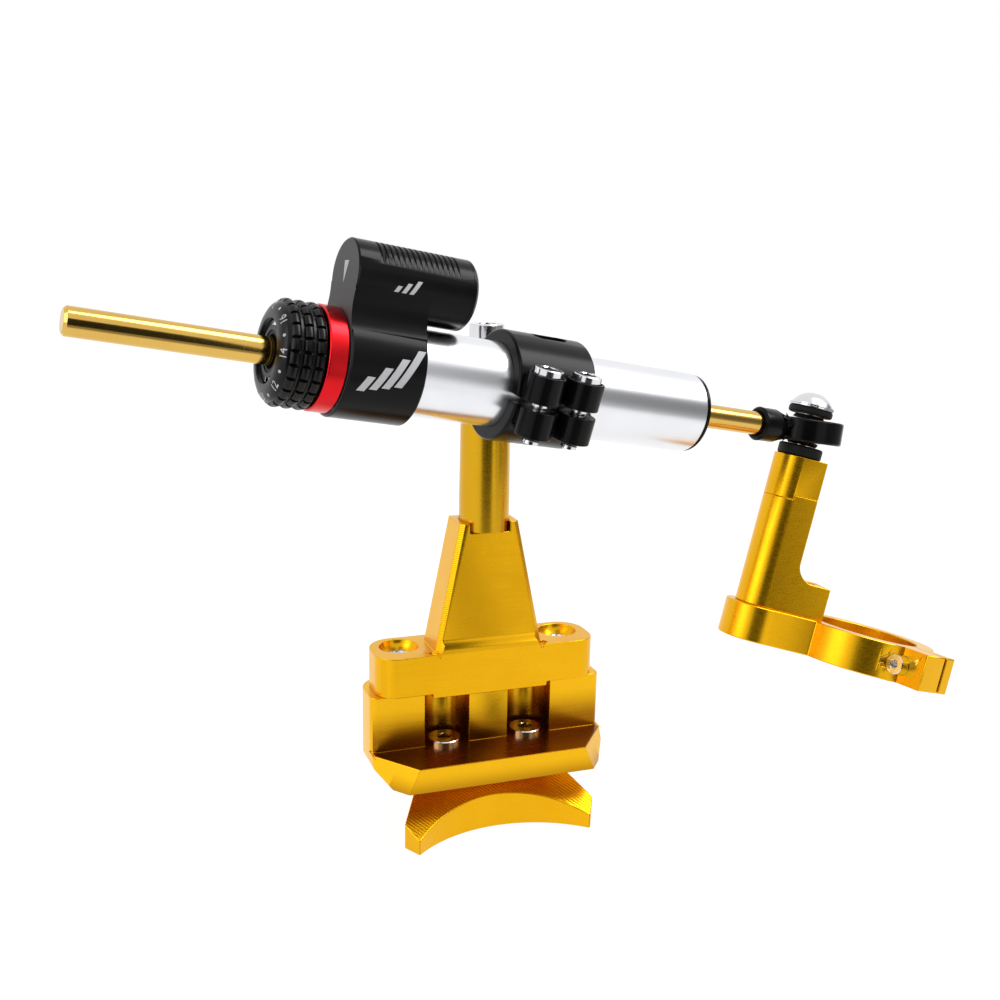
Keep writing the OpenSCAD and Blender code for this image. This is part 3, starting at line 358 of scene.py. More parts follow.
class Finish:
    """One material: a Principled shader with detail from wires."""

    def __init__(self, name, constants):
        self.material = bpy.data.materials.new(name)
        self.material.use_nodes = True
        self.tree = self.material.node_tree
        self.shader = self.tree.nodes["Principled BSDF"]
        for key, value in constants.items():
            self.shader.inputs[key].default_value = value
        self.place = Wire.node(self.tree, "ShaderNodeTexCoord", {}, {}, "Object")

    def along(self, direction):
        """Distance in metres from the origin along a direction."""
        return vector_value(self.tree, "DOT_PRODUCT", self.place, tuple(direction))

    def noise(self, scale, stretch=(1, 1, 1), turn=(0, 0, 0), detail=3.0):
        """Noise per metre, pulled out where stretch is small."""
        moved = Wire.node(self.tree, "ShaderNodeMapping", {"vector_type": "POINT"},
                          {"Vector": self.place, "Rotation": tuple(math.radians(a) for a in turn)})
        pulled = Wire.node(self.tree, "ShaderNodeVectorMath", {"operation": "MULTIPLY"},
                           {0: moved, 1: tuple(stretch)})
        return Wire.node(self.tree, "ShaderNodeTexNoise", {}, {"Vector": pulled, "Scale": scale,
                                                               "Detail": detail, "Roughness": 0.55}, "Fac")

    def lines(self, direction, pitch):
        """Smooth ridges of a given pitch across a direction."""
        phase = self.along(direction) * (2 * math.pi / pitch)
        return Wire.node(self.tree, "ShaderNodeMath", {"operation": "SINE"}, {0: phase}) * 0.5 + 0.5

    def blend(self, share, first, second):
        """A colour between two, by a wire."""
        return Wire.node(self.tree, "ShaderNodeMix", {"data_type": "RGBA"},
                         {0: share, 6: (*first, 1), 7: (*second, 1)}, 2)

    def drive(self, key, wire):
        self.tree.links.new(wire.socket, self.shader.inputs[key])

    def bump(self, wire, depth, strength=1.0):
        """Turns a height from 0 to 1 into a normal."""
        bent = Wire.node(self.tree, "ShaderNodeBump", {}, {"Height": wire, "Distance": depth,
                                                           "Strength": strength}, "Normal")
        self.drive("Normal", bent)


print("finish helper ready")

# %% [markdown]
# The gold is dyed anodising on milled aluminium: metal with a strong yellow dye, a satin
# gloss and faint streaks. Five kinds share the recipe. The plain one is for milled faces,
# the turned one for the post, the ribbed one for the strip down the tower edge, where a
# ball cutter left fine steps, and the diagonal one for the slope of the arc plate, cut at
# 45 degrees. The last is for the lower block, whose ledge and wall mirror each other and
# so go brown in their corner. That brown is painted shade, mixed into the colour by place
# on the block, and the lip of the ledge gets the same painted shade towards its bottom.

# %% Gold finishes
GOLD, GOLD_DEEP = linear(240, 182, 26), linear(230, 168, 16)
GOLD_VALLEY, PAINTED_SHADE_BROWN = linear(220, 160, 16), linear(146, 92, 14)
STREAK_DEPTH = 0.0012 * MM


def gold_paint(name):
    """Dyed metal with its streaks and gloss, still without its colour."""
    paint = Finish(name, {"Metallic": 1.0, "Specular IOR Level": 0.5})
    cloud = paint.noise(60, detail=2.0)
    streak = paint.noise(900, stretch=(0.06, 1, 1))
    paint.drive("Roughness", streak * 0.1 + cloud * 0.06 + 0.2)
    return paint, cloud, streak


def gold(name, marks=None, pitch=0.5 * MM, depth=0.0, light=GOLD, deep=GOLD_DEEP):
    """Gold anodising, with cutter marks across a direction if one is given."""
    paint, cloud, streak = gold_paint(name)
    if marks is None:
        paint.drive("Base Color", paint.blend(cloud, light, deep))
        paint.bump(streak, STREAK_DEPTH)
    else:
        ridge = paint.lines(marks, pitch)
        paint.drive("Base Color", paint.blend(ridge * 0.7 + cloud * 0.3, GOLD_VALLEY, light))
        paint.bump(ridge + streak * 0.3, depth)
    return paint.material


# Places and heights of the painted shade on the lower block.
LEDGE_Z, LEDGE_SIDE_X, CHANNEL_BACK_Y = 32.0 * MM, 45.8 * MM, 4.0 * MM
WALL_SHADE = (50.0 * MM, 35.0 * MM)
LIP_Y, LIP_SHADE, LIP_SHARE = -20.0 * MM, (30.0 * MM, 20.0 * MM), 0.8


def gold_painted_shade(name):
    """Gold with brown painted shade in the corner of the ledge and down the lip of the ledge."""
    paint, cloud, streak = gold_paint(name)
    wide, back, up = [paint.along(axis) for axis in ((1, 0, 0), (0, 1, 0), (0, 0, 1))]
    wide = Wire.node(paint.tree, "ShaderNodeMath", {"operation": "ABSOLUTE"}, {0: wide})
    inside = (LEDGE_SIDE_X > wide) * (up > LEDGE_Z) * (CHANNEL_BACK_Y > back)
    # Painted shade: the wall above the ledge goes brown towards the ledge, where ledge and wall mirror
    # each other.
    wall = inside * ramp(paint.tree, up, *WALL_SHADE) * (streak * 0.25 + 0.85)
    # Painted shade: the lip of the ledge goes brown towards its bottom, where it mirrors the shadowed
    # floor.
    lip = (LIP_Y > back) * (LEDGE_Z > up) * ramp(paint.tree, up, *LIP_SHADE) * LIP_SHARE
    paint.drive("Base Color", paint.blend(wall + lip, GOLD, PAINTED_SHADE_BROWN))
    paint.bump(streak, STREAK_DEPTH)
    return paint.material


gold_plain = gold("gold_anodised")
gold_shaded = gold_painted_shade("gold_painted_shade")
gold_post = gold("gold_turned", light=linear(216, 166, 34), deep=linear(206, 156, 26))
gold_ribbed = gold("gold_ribbed", (0, 0, 1), 0.7 * MM, 0.03 * MM)
gold_diagonal = gold("gold_diagonal", (0.707, 0.707, 0), 1.1 * MM, 0.06 * MM)
print("gold finishes 5")

# %% [markdown]
# Black anodising is a thin dark glass-like skin on metal, so it is nearly black with a
# soft sheen, and fine blasting gives it a grain. The red ring is a clear red dye on
# bright metal. The tube is polished bare aluminium with faint turning rings, and the
# rod is ground steel with a thin gold coating.

# %% Black, red and bright finishes


def black(name, colour, gloss, grain=0.012 * MM, shine=0.4):
    """Black skin with a fine blasted grain."""
    paint = Finish(name, {"Metallic": 0.0, "Specular IOR Level": shine})
    fine, cloud = paint.noise(5200, detail=2.0), paint.noise(90)
    lighter = tuple(part * 1.5 + 0.002 for part in colour)
    paint.drive("Base Color", paint.blend(cloud, colour, lighter))
    paint.drive("Roughness", cloud * 0.08 + fine * 0.05 + gloss)
    paint.bump(fine, grain, 0.5)
    return paint.material


def turned_metal(name, colour, darker, gloss, axis, depth):
    """Bright metal with fine rings across the axis that it was turned or ground on."""
    paint = Finish(name, {"Metallic": 1.0})
    cloud = paint.noise(70)
    ring = Wire.node(paint.tree, "ShaderNodeTexNoise", {"noise_dimensions": "1D"},
                     {"W": paint.along(axis), "Scale": 2600.0, "Detail": 3.0}, "Fac")
    paint.drive("Base Color", paint.blend(cloud, colour, darker))
    paint.drive("Roughness", ring * 0.06 + cloud * 0.04 + gloss)
    paint.bump(ring, depth)
    return paint.material


black_skin = black("black_anodised", linear(5, 5, 6), 0.16, 0.004 * MM, 0.13)
black_face = black("black_blasted", linear(58, 58, 60), 0.5)
black_knob_skin = black("black_knob", linear(6, 6, 7), 0.2, 0.006 * MM, 0.2)
rubber = black("rubber", linear(10, 10, 10), 0.5, 0.02 * MM, 0.25)
wear_plastic = black("wear_ring", linear(90, 74, 58), 0.5)
red_skin = turned_metal("red_anodised", linear(222, 36, 42), linear(204, 22, 30), 0.2,
                        rod_dir, 0.003 * MM)
tube_metal = turned_metal("tube_polished", linear(238, 239, 242), linear(226, 227, 231), 0.2,
                          rod_dir, 0.002 * MM)
rod_gold = turned_metal("rod_gold", linear(226, 187, 100), linear(208, 165, 78), 0.09,
                        rod_dir, 0.003 * MM)
steel = turned_metal("zinc_steel", linear(214, 214, 216), linear(190, 190, 194), 0.24,
                     (0, 0, 1), 0.004 * MM)
bright_steel = turned_metal("polished_steel", linear(232, 232, 234), linear(214, 214, 218), 0.1,
                            up_dir, 0.002 * MM)
bronze = turned_metal("bronze", linear(196, 150, 92), linear(170, 122, 66), 0.3,
                      rod_dir, 0.004 * MM)


def print_paint():
    """Pale grey marking paint with a slightly uneven film."""
    paint = Finish("marking_paint", {"Specular IOR Level": 0.4})
    film = paint.noise(2400)
    paint.drive("Base Color", paint.blend(film, linear(206, 206, 208), linear(180, 180, 184)))
    paint.drive("Roughness", film * 0.15 + 0.45)
    return paint.material


marking = print_paint()
print("finishes", len(bpy.data.materials))

# %% [markdown]
# Real edges are never knife sharp, and it is the small chamfers that catch the light.
# A copy of a CAD mesh is merged, its flat faces are joined, and a Bevel modifier breaks
# every corner sharper than a limit. The copy then stands for the CAD node, which stays
# in the frame for the simulation. Around the pinch screw the cuts run into each other, so
# the edges in a small ball there stay as they were cut.

# %% Dress a CAD node with broken edges
WELD = 0.002 * MM
FLAT_ANGLE, EDGE_ANGLE = math.radians(0.4), math.radians(28)


def smooth_by_angle(mesh):
    """Smooth shading, with the sharp corners kept sharp."""
    mesh.polygons.foreach_set("use_smooth", [True] * len(mesh.polygons))
    mesh.set_sharp_from_angle(angle=EDGE_ANGLE)


def settle(piece, node):
    """The piece takes the place of a node and rides on that node's body."""
    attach(piece, body_of_node[node])
    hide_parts(node)


def dress(node, finishes, edge=0.35 * MM, segments=2, pick=None, keep_sharp=()):
    """A copy of a node with bevelled edges. pick(face) gives a face's finish number.

    keep_sharp holds balls, each a centre and a radius, in which edges stay as cut.
    """
    shape = bmesh.new()
    shape.from_mesh(nodes[node].data)
    bmesh.ops.remove_doubles(shape, verts=shape.verts, dist=WELD)
    bmesh.ops.dissolve_limit(shape, angle_limit=FLAT_ANGLE, verts=shape.verts, edges=shape.edges,
                             delimit={"NORMAL"})
    for face in shape.faces:
        face.material_index = pick(face) if pick else 0
    weight = shape.edges.layers.float.new("bevel_weight_edge")
    for side in shape.edges:
        middle = (side.verts[0].co + side.verts[1].co) / 2
        clear = all((middle - centre).length > reach for centre, reach in keep_sharp)
        side[weight] = float(clear and side.calc_face_angle(0) > EDGE_ANGLE)
    mesh = bpy.data.meshes.new(node + "_dressed")
    shape.to_mesh(mesh)
    shape.free()
    for finish in finishes:
        mesh.materials.append(finish)
    piece = bpy.data.objects.new(node + "_dressed", mesh)
    scene.collection.objects.link(piece)
    smooth_by_angle(mesh)
    if edge:
        bevel = piece.modifiers.new("broken_edges", "BEVEL")
        bevel.width, bevel.segments, bevel.limit_method = edge, segments, "WEIGHT"
        bevel.use_clamp_overlap, bevel.harden_normals = False, True
        bevel.miter_outer = "MITER_ARC"
    settle(piece, node)
    return piece


# %% [markdown]
# The gold pieces are milled from bar and turned from rod, and their edges are broken with
# a file or a small chamfer cutter. The cutter marks lie on two faces only, so the finish
# is picked for each face by the way it looks.

# %% Gold pieces
STRIP_LEAN, SLOPE_LOW, SLOPE_HIGH = -0.55, 0.3, 0.97
PINCH_CLEAR = 9 * MM


def tower_pick(face):
    """The cut strip down the left edge of the tower is ribbed."""
    return int(face.normal.x < STRIP_LEAN and face.normal.y < STRIP_LEAN)


def arc_pick(face):
    """The slope of the arc plate has diagonal marks."""
    return int(SLOPE_LOW < face.normal.z < SLOPE_HIGH)


dress("tower", [gold_plain, gold_ribbed], pick=tower_pick)
dress("arc_plate", [gold_plain, gold_diagonal], pick=arc_pick)
dress("fork_plate", [gold_plain], 0.5 * MM, 3, keep_sharp=[(pinch_seat, PINCH_CLEAR)])
dress("lower_block", [gold_shaded])
for node in ("collar", "arm"):
    dress(node, [gold_plain])
dress("post", [gold_post])
print("gold pieces 7")

# %% [markdown]
# The black pieces, the ring, the tube and the rod are turned, and turned edges are finer
# than filed ones. The forged rod end and the moulded seals are rounder. The front of the
# head is blasted, and its grooves are too fine for a bevel, so its edges stay as cut.

# %% Black, red and bright pieces
FRONT_FACING = -0.9


def head_pick(face):
    """The front face of the head is blasted."""
    return int(face.normal.dot(rod_dir) < FRONT_FACING)


dress("head", [black_skin, black_face], 0, pick=head_pick)
dress("reservoir_cap", [black_skin], 0.2 * MM)
dress("clamp", [black_skin])
dress("end_cap", [black_skin], 0.2 * MM)
dress("rod_end", [black_skin], 0.9 * MM, 3)
dress("red_ring", [red_skin], 0.2 * MM)
dress("tube", [tube_metal], 0.2 * MM)
dress("rod", [rod_gold], 0.15 * MM)
dress("dome_screw", [bright_steel], 0.15 * MM)
dress("arm_washers", [bright_steel], 0.1 * MM)
dress("pivot_washer", [steel], 0.15 * MM)
dress("dust_seals", [rubber], 0.9 * MM, 3)
dress("dust_cup", [rubber], 0.15 * MM)
dress("knob_circlip", [bright_steel], 0.1 * MM)

# %% [markdown]
# The pieces inside show through no opening, or only as a glint of the ball joints. They
# keep their CAD meshes and only get the metal, rubber or plastic that they are made of.

# %% Finishes of the pieces inside
inner = {"piston": tube_metal, "floating_piston": tube_metal, "piston_ring": wear_plastic,
         "guide_bush_left": bronze, "guide_bush_right": bronze, "rod_end_race": bronze,
         "rod_seal_left": rubber, "rod_seal_right": rubber, "end_cap_ring": rubber,
         "pivot_race": bright_steel, "pivot_ball": bright_steel, "rod_end_ball": bright_steel,
         "pivot_spacers": steel, "post_screw": steel}
for node, finish in inner.items():
    nodes[node].data.materials.clear()
    nodes[node].data.materials.append(finish)
print("inner finishes", len(inner))

# %% [markdown]
# The screws, the knob and its marks are shapes that repeat or follow a rule, so they come
# from Geometry Nodes. A recipe here is one node tree with named inputs. It is baked once
# to a plain mesh, because the exported part keeps meshes and drops instances.


# %% Recipe helper
class Recipe:
    """A Geometry Nodes tree with named inputs, baked to a plain mesh."""

    def __init__(self, name, inputs):
        self.tree = bpy.data.node_groups.new(name, "GeometryNodeTree")
        face = self.tree.interface
        face.new_socket("Geometry", in_out="INPUT", socket_type="NodeSocketGeometry")
        self.ids = {key: face.new_socket(key, in_out="INPUT", socket_type="NodeSocket" + kind)
                    .identifier for key, kind in {**inputs, "Finish": "Material"}.items()}
        face.new_socket("Geometry", in_out="OUTPUT", socket_type="NodeSocketGeometry")
        source = self.tree.nodes.new("NodeGroupInput")
        self.value = {socket.name: Wire(self.tree, socket) for socket in source.outputs if socket.name}

    def node(self, kind, sockets=None, settings=None, output=0):
        return Wire.node(self.tree, kind, settings, sockets, output)

    def close(self, shape):
        """Ends the tree in real geometry with its finish."""
        real = self.node("GeometryNodeRealizeInstances", {0: shape})
        done = self.node("GeometryNodeSetMaterial", {"Geometry": real,
                                                     "Material": self.value["Finish"]})
        self.node("NodeGroupOutput", {0: done})

    def bake(self, name, base, values, smooth=True):
        """Runs the tree on a mesh or curve and gives back a plain piece."""
        holder = bpy.data.objects.new(name + "_recipe", base)
        scene.collection.objects.link(holder)
        modifier = holder.modifiers.new(name, "NODES")
        modifier.node_group = self.tree
        for key, value in values.items():
            modifier[self.ids[key]] = value
        graph = bpy.context.evaluated_depsgraph_get()
        mesh = bpy.data.meshes.new_from_object(holder.evaluated_get(graph))
        holder.modifiers.remove(modifier)
        bpy.data.objects.remove(holder)
        if smooth:
            smooth_by_angle(mesh)
        piece = bpy.data.objects.new(name, mesh)
        scene.collection.objects.link(piece)
        return piece


def points_mesh(name, places):
    """A mesh of loose points, for a recipe to put things on."""
    mesh = bpy.data.meshes.new(name)
    mesh.from_pydata([tuple(place) for place in places], [], [])
    return mesh


print("recipes ready")

# %% [markdown]
# A socket head screw starts as a turned cylinder. A cone takes the sharp rim off, a
# hexagon key seat is sunk into the top, and a helix of a three sided section makes the
# thread. Here the same steps are done with booleans on primitives and a spiral, and the
# screw is then put on every seat point.

# %% Socket head screw recipe
screw = Recipe("socket_screw", {"Head Radius": "Float", "Head Height": "Float", "Rim": "Float",
                                "Key": "Float", "Shank Radius": "Float", "Length": "Float",
                                "Thread": "Float", "Pitch": "Float", "Axis": "Vector", "Turn": "Float"})
head_r, head_h, rim, key, shank_r, length, thread, pitch = [screw.value[name] for name in (
    "Head Radius", "Head Height", "Rim", "Key", "Shank Radius", "Length", "Thread", "Pitch")]
AROUND = 40


def lifted(shape, height):
    """Moves a shape up inside the screw recipe."""
    offset = screw.node("ShaderNodeCombineXYZ", {"Z": height})
    return screw.node("GeometryNodeTransform", {"Geometry": shape, "Translation": offset})


def rod_of(radius, bottom, top, sides=AROUND):
    """A cylinder between two heights inside the screw recipe."""
    tall = top - bottom
    shape = screw.node("GeometryNodeMeshCylinder", {"Vertices": sides, "Radius": radius,
                                                    "Depth": tall})
    return lifted(shape, (top + bottom) * 0.5)


def cone_of(bottom_r, top_r, bottom, top, sides=AROUND):
    """A cone between two heights, whose node starts at its base."""
    shape = screw.node("GeometryNodeMeshCone", {"Vertices": sides, "Radius Bottom": bottom_r,
                                                "Radius Top": top_r, "Depth": top - bottom})
    return lifted(shape, bottom)


face_r = head_r - rim
turned_cone = cone_of(face_r + head_h * 1.5, face_r - head_h * 0.2, head_h * -0.5, head_h * 1.2)
barrel = rod_of(head_r, head_h * 0.0, head_h)
blank = screw.node("GeometryNodeMeshBoolean", {"Mesh 2": [barrel, turned_cone]},
                   {"operation": "INTERSECT"})
key_seat = rod_of(key / math.sqrt(3), head_h * 0.3, head_h * 1.5, 6)
mouth = cone_of(key * 0.44, key * 0.70, head_h - key * 0.13, head_h + key * 0.13)
head_done = screw.node("GeometryNodeMeshBoolean", {"Mesh 1": blank, "Mesh 2": [key_seat, mouth]},
                       {"operation": "DIFFERENCE"})
core = rod_of(shank_r - pitch * 0.6, length * -1.0, head_h * 0.2)
plain = rod_of(shank_r, thread - length, head_h * 0.2)
helix = screw.node("GeometryNodeCurveSpiral", {"Resolution": 20, "Rotations": thread / pitch - 0.6,
                                               "Start Radius": shank_r - pitch * 0.5,
                                               "End Radius": shank_r - pitch * 0.5,
                                               "Height": thread - pitch * 0.6})
section = screw.node("GeometryNodeCurvePrimitiveCircle", {"Resolution": 3, "Radius": pitch * 0.5})
ridge = screw.node("GeometryNodeCurveToMesh", {"Curve": helix, "Profile Curve": section,
                                               "Fill Caps": True})
ridge = lifted(ridge, pitch * 0.3 - length)
whole = screw.node("GeometryNodeJoinGeometry", {0: [head_done, core, plain, ridge]})
spin = screw.node("ShaderNodeCombineXYZ", {"Z": screw.value["Turn"]})
whole = screw.node("GeometryNodeTransform", {"Geometry": whole, "Rotation": spin})
upright = screw.node("FunctionNodeAlignRotationToVector", {"Vector": screw.value["Axis"]},
                     {"axis": "Z"})
seats = screw.node("GeometryNodeMeshToPoints", {0: screw.value["Geometry"]})
screw.close(screw.node("GeometryNodeInstanceOnPoints", {"Points": seats, "Instance": whole,
                                                        "Rotation": upright}))
print("screw recipe nodes", len(screw.tree.nodes))

# %% [markdown]
# A screw size is its head radius, head height, shank radius and pitch, and the hexagon key
# that fits it. The two base screws have wide low heads and the pinch screw a tall one. A
# seat is where the underside of the head rests, on the axes of the piece that holds it.

# %% Screws in their seats
M4_TALL, M5, M6 = (3.85, 5.8, 2, 0.7), (4.25, 5, 2.5, 0.8), (5, 6, 3, 1.0)
M6_WIDE, M8 = (6.4, 5, 3.4, 1.0), (6.5, 5, 4, 1.25)
KEYS = {M4_TALL: 3, M5: 4, M6: 5, M6_WIDE: 5, M8: 6}
RIM_SHARE = 0.05
CLAMP_SEAT, EAR_SEAT, BASE_SEAT = (7.5, -21.5, 6.7), (32.7, 3, 61.9), (16.7, -5.3, 29.0)
PIVOT_SEAT, FOOT_SEAT = Vector((0, 0, 187)) * MM, Vector((15.6, 0, -64.5)) * MM


def put_screws(node, size, seats, axis, length, thread=4.0, turn=10):
    """One piece of equal screws, each with its seat at a point and its head along the axis."""
    head, tall, shank, step = size
    values = {"Head Radius": head * MM, "Head Height": tall * MM, "Rim": RIM_SHARE * head * MM,
              "Key": KEYS[size] * MM, "Shank Radius": shank * MM, "Length": length * MM,
              "Thread": thread * MM, "Pitch": step * MM, "Axis": tuple(axis),
              "Turn": math.radians(turn), "Finish": bright_steel}
    settle(screw.bake(node + "_turned", points_mesh(node + "_seats", seats), values), node)


def both_sides(x, y, z):
    """A seat and its mirror image, from mm."""
    return [Vector((side * x, y, z)) * MM for side in (-1, 1)]


plate_up, tail_near = plate_axes.col[2][:3], -Vector(tail_axes.col[1][:3])
put_screws("clamp_screws", M6, [clamp_axes @ place for place in both_sides(*CLAMP_SEAT)],
           clamp_axes.col[2][:3], 19.8, 13.0)
put_screws("pivot_bolt", M8, [PIVOT_SEAT], (0, 0, 1), 36.5)
put_screws("ear_screws", M5, both_sides(*EAR_SEAT), (0, 0, 1), 21.9)
put_screws("base_screws", M6_WIDE, both_sides(*BASE_SEAT), (0, 0, 1), 22.0)
put_screws("foot_screw", M6, [plate_axes @ FOOT_SEAT], plate_up, 18.5)
put_screws("pinch_screw", M4_TALL, [pinch_seat], tail_near, 14.1)
print("screw pieces 6")

# %% [markdown]
# The adjuster knob is a ring turned to a profile, with three raised bands that a cutter
# then splits into teeth all the way round. The shape follows a rule: a point of the
# profile is carried round the axis, and what stands above the root radius is raised or
# lowered by a wave with one crest for each tooth. A grid bent round by its node tree
# gives that as one closed mesh.

# %% Knob profile
KNOB_LEFT, KNOB_RIGHT, KNOB_R, ROOT_R = -94.6, -80.6, 17.0, 15.7
FACE_R, FACE_DEEP, FACE_EDGE_R = 11.0, 3.0, 15.9
BORE_R, RECESS_R, RECESS_X = 8.25, 10.2, -91.6
BAND_W, BAND_PITCH, BAND_LAND, BAND_STEPS = 3.3, 4.0, 0.1, 9
FACE_STEPS = (11.8, 12.6, 13.4, 14.1, 14.7, 15.2, 15.55)
LIP = 0.3


def face_depth(radius):
    """Place along the rod of the rounded knob face at a radius, in mm."""
    share = min(max((radius - FACE_R) / (FACE_EDGE_R - FACE_R), 0), 1)
    return KNOB_LEFT + FACE_DEEP * (1 - math.sqrt(1 - share * share))


def band_profile(centre):
    """One raised band with round shoulders, from left to right."""
    steps = [i / BAND_STEPS for i in range(BAND_STEPS + 1)]
    return [(ROOT_R + (KNOB_R - ROOT_R) * math.sin(math.pi * t) ** 0.5,
             centre + BAND_W * (t - 0.5)) for t in steps]


profile = [(BORE_R, KNOB_RIGHT), (BORE_R, RECESS_X), (RECESS_R, RECESS_X),
           (RECESS_R, KNOB_LEFT + LIP), (RECESS_R + LIP, KNOB_LEFT), (FACE_R, KNOB_LEFT)]
profile += [(r, face_depth(r)) for r in FACE_STEPS]
for band in (2, 1, 0):
    profile += band_profile(KNOB_RIGHT - BAND_LAND - BAND_W / 2 - band * BAND_PITCH)
profile += [(ROOT_R, KNOB_RIGHT), (BORE_R, KNOB_RIGHT)]
print("profile points", len(profile))

# %% Knob by its rule
TEETH, STEPS_A_TOOTH, GAP_EDGE = 24, 16, -0.72
knob = Recipe("toothed_knob", {"Around": "Int", "Along": "Int", "Teeth": "Int",
                               "Root Radius": "Float"})
grid = knob.node("GeometryNodeMeshGrid", {"Size X": 1.0, "Size Y": 1.0,
                                          "Vertices X": knob.value["Around"] + 1,
                                          "Vertices Y": knob.value["Along"]})
spot = knob.node("GeometryNodeInputPosition")
across = knob.node("ShaderNodeSeparateXYZ", {0: spot}, output="X") + 0.5
along = knob.node("ShaderNodeSeparateXYZ", {0: spot}, output="Y") + 0.5
nearest = knob.node("ShaderNodeMath", {0: along * (knob.value["Along"] - 1)}, {"operation": "ROUND"})
drawn = knob.node("GeometryNodeSampleIndex", {"Geometry": knob.value["Geometry"], "Value": spot,
                                              "Index": nearest},
                  {"data_type": "FLOAT_VECTOR", "domain": "POINT"})
radius = knob.node("ShaderNodeSeparateXYZ", {0: drawn}, output="X")
place = knob.node("ShaderNodeSeparateXYZ", {0: drawn}, output="Y")
angle = across * (2 * math.pi)
wave = knob.node("ShaderNodeMath", {0: angle * knob.value["Teeth"]}, {"operation": "COSINE"})
tooth = knob.node("ShaderNodeMapRange", {"Value": wave, "From Min": -1.0, "From Max": GAP_EDGE},
                  {"interpolation_type": "SMOOTHSTEP"})
above = knob.node("ShaderNodeMath", {0: radius - knob.value["Root Radius"], 1: 0.0},
                  {"operation": "MAXIMUM"})
cut = radius - above * (1 - tooth)
sine = knob.node("ShaderNodeMath", {0: angle}, {"operation": "SINE"})
cosine = knob.node("ShaderNodeMath", {0: angle}, {"operation": "COSINE"})
bent = knob.node("ShaderNodeCombineXYZ", {"X": place, "Y": 0 - cut * sine, "Z": cut * cosine})
turned_grid = knob.node("GeometryNodeSetPosition", {"Geometry": grid, "Position": bent})
knob.close(knob.node("GeometryNodeMergeByDistance", {"Geometry": turned_grid,
                                                     "Distance": 0.001 * MM}))
drawn_profile = points_mesh("knob_profile", [(r * MM, x * MM, 0) for r, x in profile])
knob_piece = knob.bake("adjuster_knob_turned", drawn_profile,
                       {"Around": TEETH * STEPS_A_TOOTH, "Along": len(profile), "Teeth": TEETH,
                        "Root Radius": ROOT_R * MM, "Finish": black_knob_skin}, smooth=False)
shape = bmesh.new()
shape.from_mesh(knob_piece.data)
bmesh.ops.transform(shape, matrix=damper, verts=shape.verts)
bmesh.ops.recalc_face_normals(shape, faces=shape.faces)
shape.to_mesh(knob_piece.data)
shape.free()
smooth_by_angle(knob_piece.data)
settle(knob_piece, "adjuster_knob")
print("knob faces", len(knob_piece.data.polygons))

# %% [markdown]
# The dial marks on the knob are engraved and filled with pale paint. Even numbers stand a
# turn of 45 degrees apart with a dot between them, and their tops point to the rod. Text
# gives flat letters, so their meshes are cut fine and then laid on the rounded face.

# %% Dial marks
DIAL_R, FIRST_ANGLE, STEP_ANGLE, CLICKS = 14.3, -3.0, -22.5, 16
TEXT_SIZE, DOT_R, FILM = 3.4, 0.5, 0.035
LONGEST, SPLITS = 0.35, 4


def cut_fine(shape):
    """Splits long edges, so that a flat mark can follow a curve."""
    for _ in range(SPLITS):
        long_edges = [edge for edge in shape.edges if edge.calc_length() > LONGEST]
        bmesh.ops.subdivide_edges(shape, edges=long_edges, cuts=1)
        bmesh.ops.triangulate(shape, faces=shape.faces)


def on_dial(x, y, z, degrees):
    """A point of a flat mark in mm, laid on the knob face at an angle from the top."""
    radius = DIAL_R - y
    turn = math.radians(degrees) - x / DIAL_R
    along = face_depth(radius) - z
    return damper @ (Vector((along, -radius * math.sin(turn), radius * math.cos(turn))) * MM)


def mark_mesh(shape, name, place, degrees=0):
    """Lays a flat shape on a surface and gives back its mesh."""
    cut_fine(shape)
    for vert in shape.verts:
        vert.co = place(*vert.co, degrees)
    mesh = bpy.data.meshes.new(name)
    shape.to_mesh(mesh)
    shape.free()
    return mesh


def letters(text):
    """A flat closed mesh of a text, centred, in mm."""
    curve = bpy.data.curves.new("dial_text", "FONT")
    curve.body, curve.size, curve.extrude = text, TEXT_SIZE, FILM
    curve.align_x, curve.align_y, curve.resolution_u = "CENTER", "CENTER", 3
    holder = bpy.data.objects.new("dial_text", curve)
    scene.collection.objects.link(holder)
    graph = bpy.context.evaluated_depsgraph_get()
    mesh = bpy.data.meshes.new_from_object(holder.evaluated_get(graph))
    bpy.data.objects.remove(holder)
    shape = bmesh.new()
    shape.from_mesh(mesh)
    bmesh.ops.remove_doubles(shape, verts=shape.verts, dist=0.001)
    bmesh.ops.triangulate(shape, faces=shape.faces)
    return shape


def dot():
    """A flat closed disc in mm."""
    shape = bmesh.new()
    bmesh.ops.create_cone(shape, cap_ends=True, cap_tris=True, segments=16, radius1=DOT_R,
                          radius2=DOT_R, depth=2 * FILM)
    return shape


def join_marks(name, meshes, body):
    """One painted piece from several laid marks."""
    joined = bmesh.new()
    for mesh in meshes:
        joined.from_mesh(mesh)
    bmesh.ops.recalc_face_normals(joined, faces=joined.faces)
    whole_mesh = bpy.data.meshes.new(name)
    joined.to_mesh(whole_mesh)
    joined.free()
    whole_mesh.materials.append(marking)
    piece = bpy.data.objects.new(name, whole_mesh)
    scene.collection.objects.link(piece)
    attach(piece, body)


dial = []
for step in range(CLICKS):
    mark = dot() if step % 2 else letters(str(step + 2))
    dial.append(mark_mesh(mark, "dial", on_dial, FIRST_ANGLE + step * STEP_ANGLE))
join_marks("dial_marks", dial, "knob")
print("dial marks", len(dial))

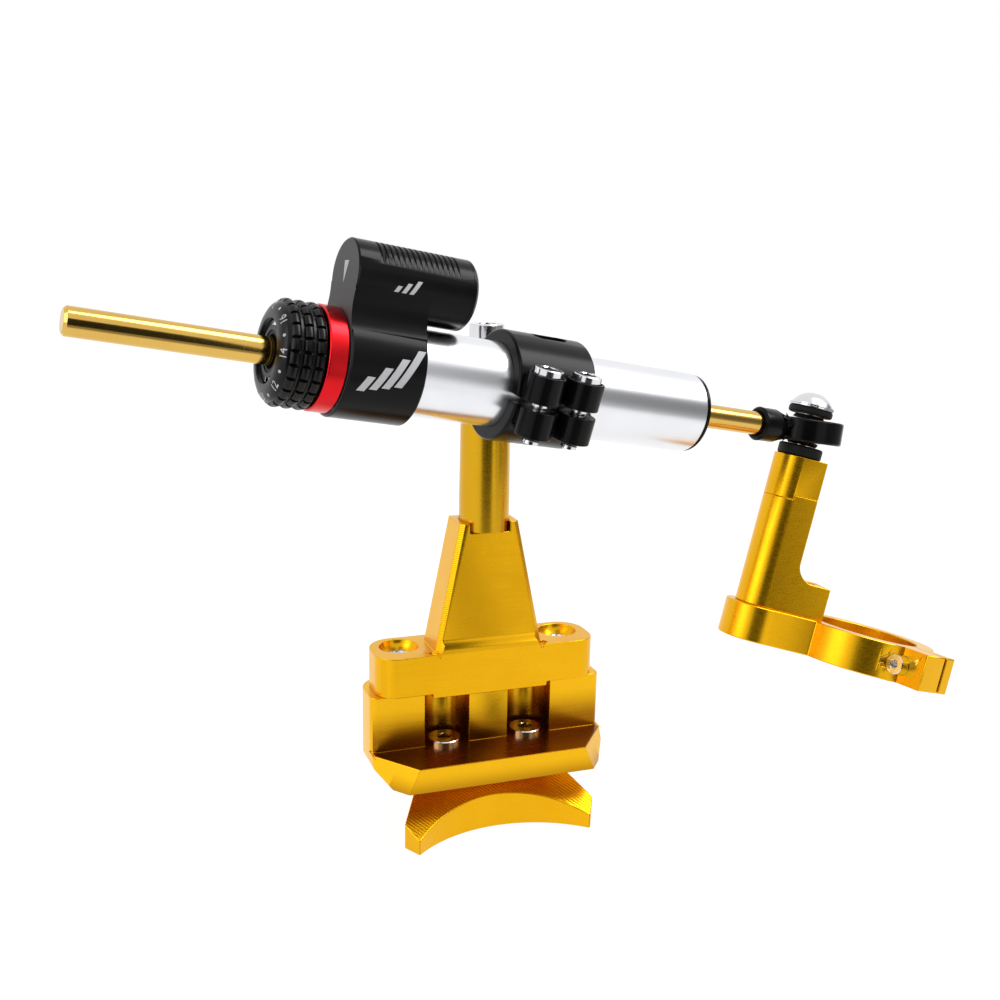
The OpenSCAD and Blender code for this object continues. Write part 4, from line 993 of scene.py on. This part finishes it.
# %% [markdown]
# The head carries a painted pointer on its front face, which reads the dial, and a set of
# slanted bars on its side. The bars are a plain pattern of this lesson's own. Each is a
# flat patch wrapped on the round side and raised by the thickness of a paint film.

# %% Pointer and side bars
HEAD_LEFT, HEAD_R, RES_R, RES_Z = -73.4, 18.0, 11.7, 27.2
POINTER = [(2.0, 31.5), (0.5, 24.6), (-1.6, 31.8)]
BAR_LEAN = 0.55


def flat_patch(corners):
    """A thin closed plate with the given outline, in mm."""
    shape = bmesh.new()
    lower = [shape.verts.new((x, y, -FILM)) for x, y in corners]
    upper = [shape.verts.new((x, y, FILM)) for x, y in corners]
    shape.faces.new(list(reversed(lower)))
    shape.faces.new(upper)
    for i in range(len(corners)):
        j = (i + 1) % len(corners)
        shape.faces.new((lower[i], lower[j], upper[j], upper[i]))
    bmesh.ops.triangulate(shape, faces=shape.faces)
    return shape


def on_head_face(x, y, z, _):
    """x across and y up the front face of the head, in mm."""
    return head_axes @ (Vector((HEAD_LEFT - z, x, y)) * MM)


def on_barrel(centre_z, barrel_r):
    """Wraps x along the rod and y up round a barrel of the head, in mm on its surface."""
    def place(x, y, z, _):
        angle, radius = y / barrel_r, barrel_r + z
        return head_axes @ (Vector((x, -radius * math.cos(angle),
                                    centre_z + radius * math.sin(angle))) * MM)
    return place


def slanted(x, y, width, tall):
    """Corners of a bar that leans to the right."""
    lean = tall * BAR_LEAN
    return [(x, y), (x + width, y), (x + width + lean, y + tall), (x + lean, y + tall)]


head_marks = [mark_mesh(flat_patch(POINTER), "pointer", on_head_face)]
for i, tall in enumerate((5.0, 7.5, 10.0, 12.5)):
    bar = slanted(-70.0 + 4.0 * i, -6.5 + 0.9 * i, 2.6, tall)
    head_marks.append(mark_mesh(flat_patch(bar), "bar", on_barrel(0, HEAD_R)))
for i, tall in enumerate((2.0, 3.2, 4.4)):
    bar = slanted(-61.0 + 2.6 * i, -2.2, 1.5, tall)
    head_marks.append(mark_mesh(flat_patch(bar), "bar", on_barrel(RES_Z, RES_R)))
join_marks("head_marks", head_marks, "damper")
print("head marks", len(head_marks))
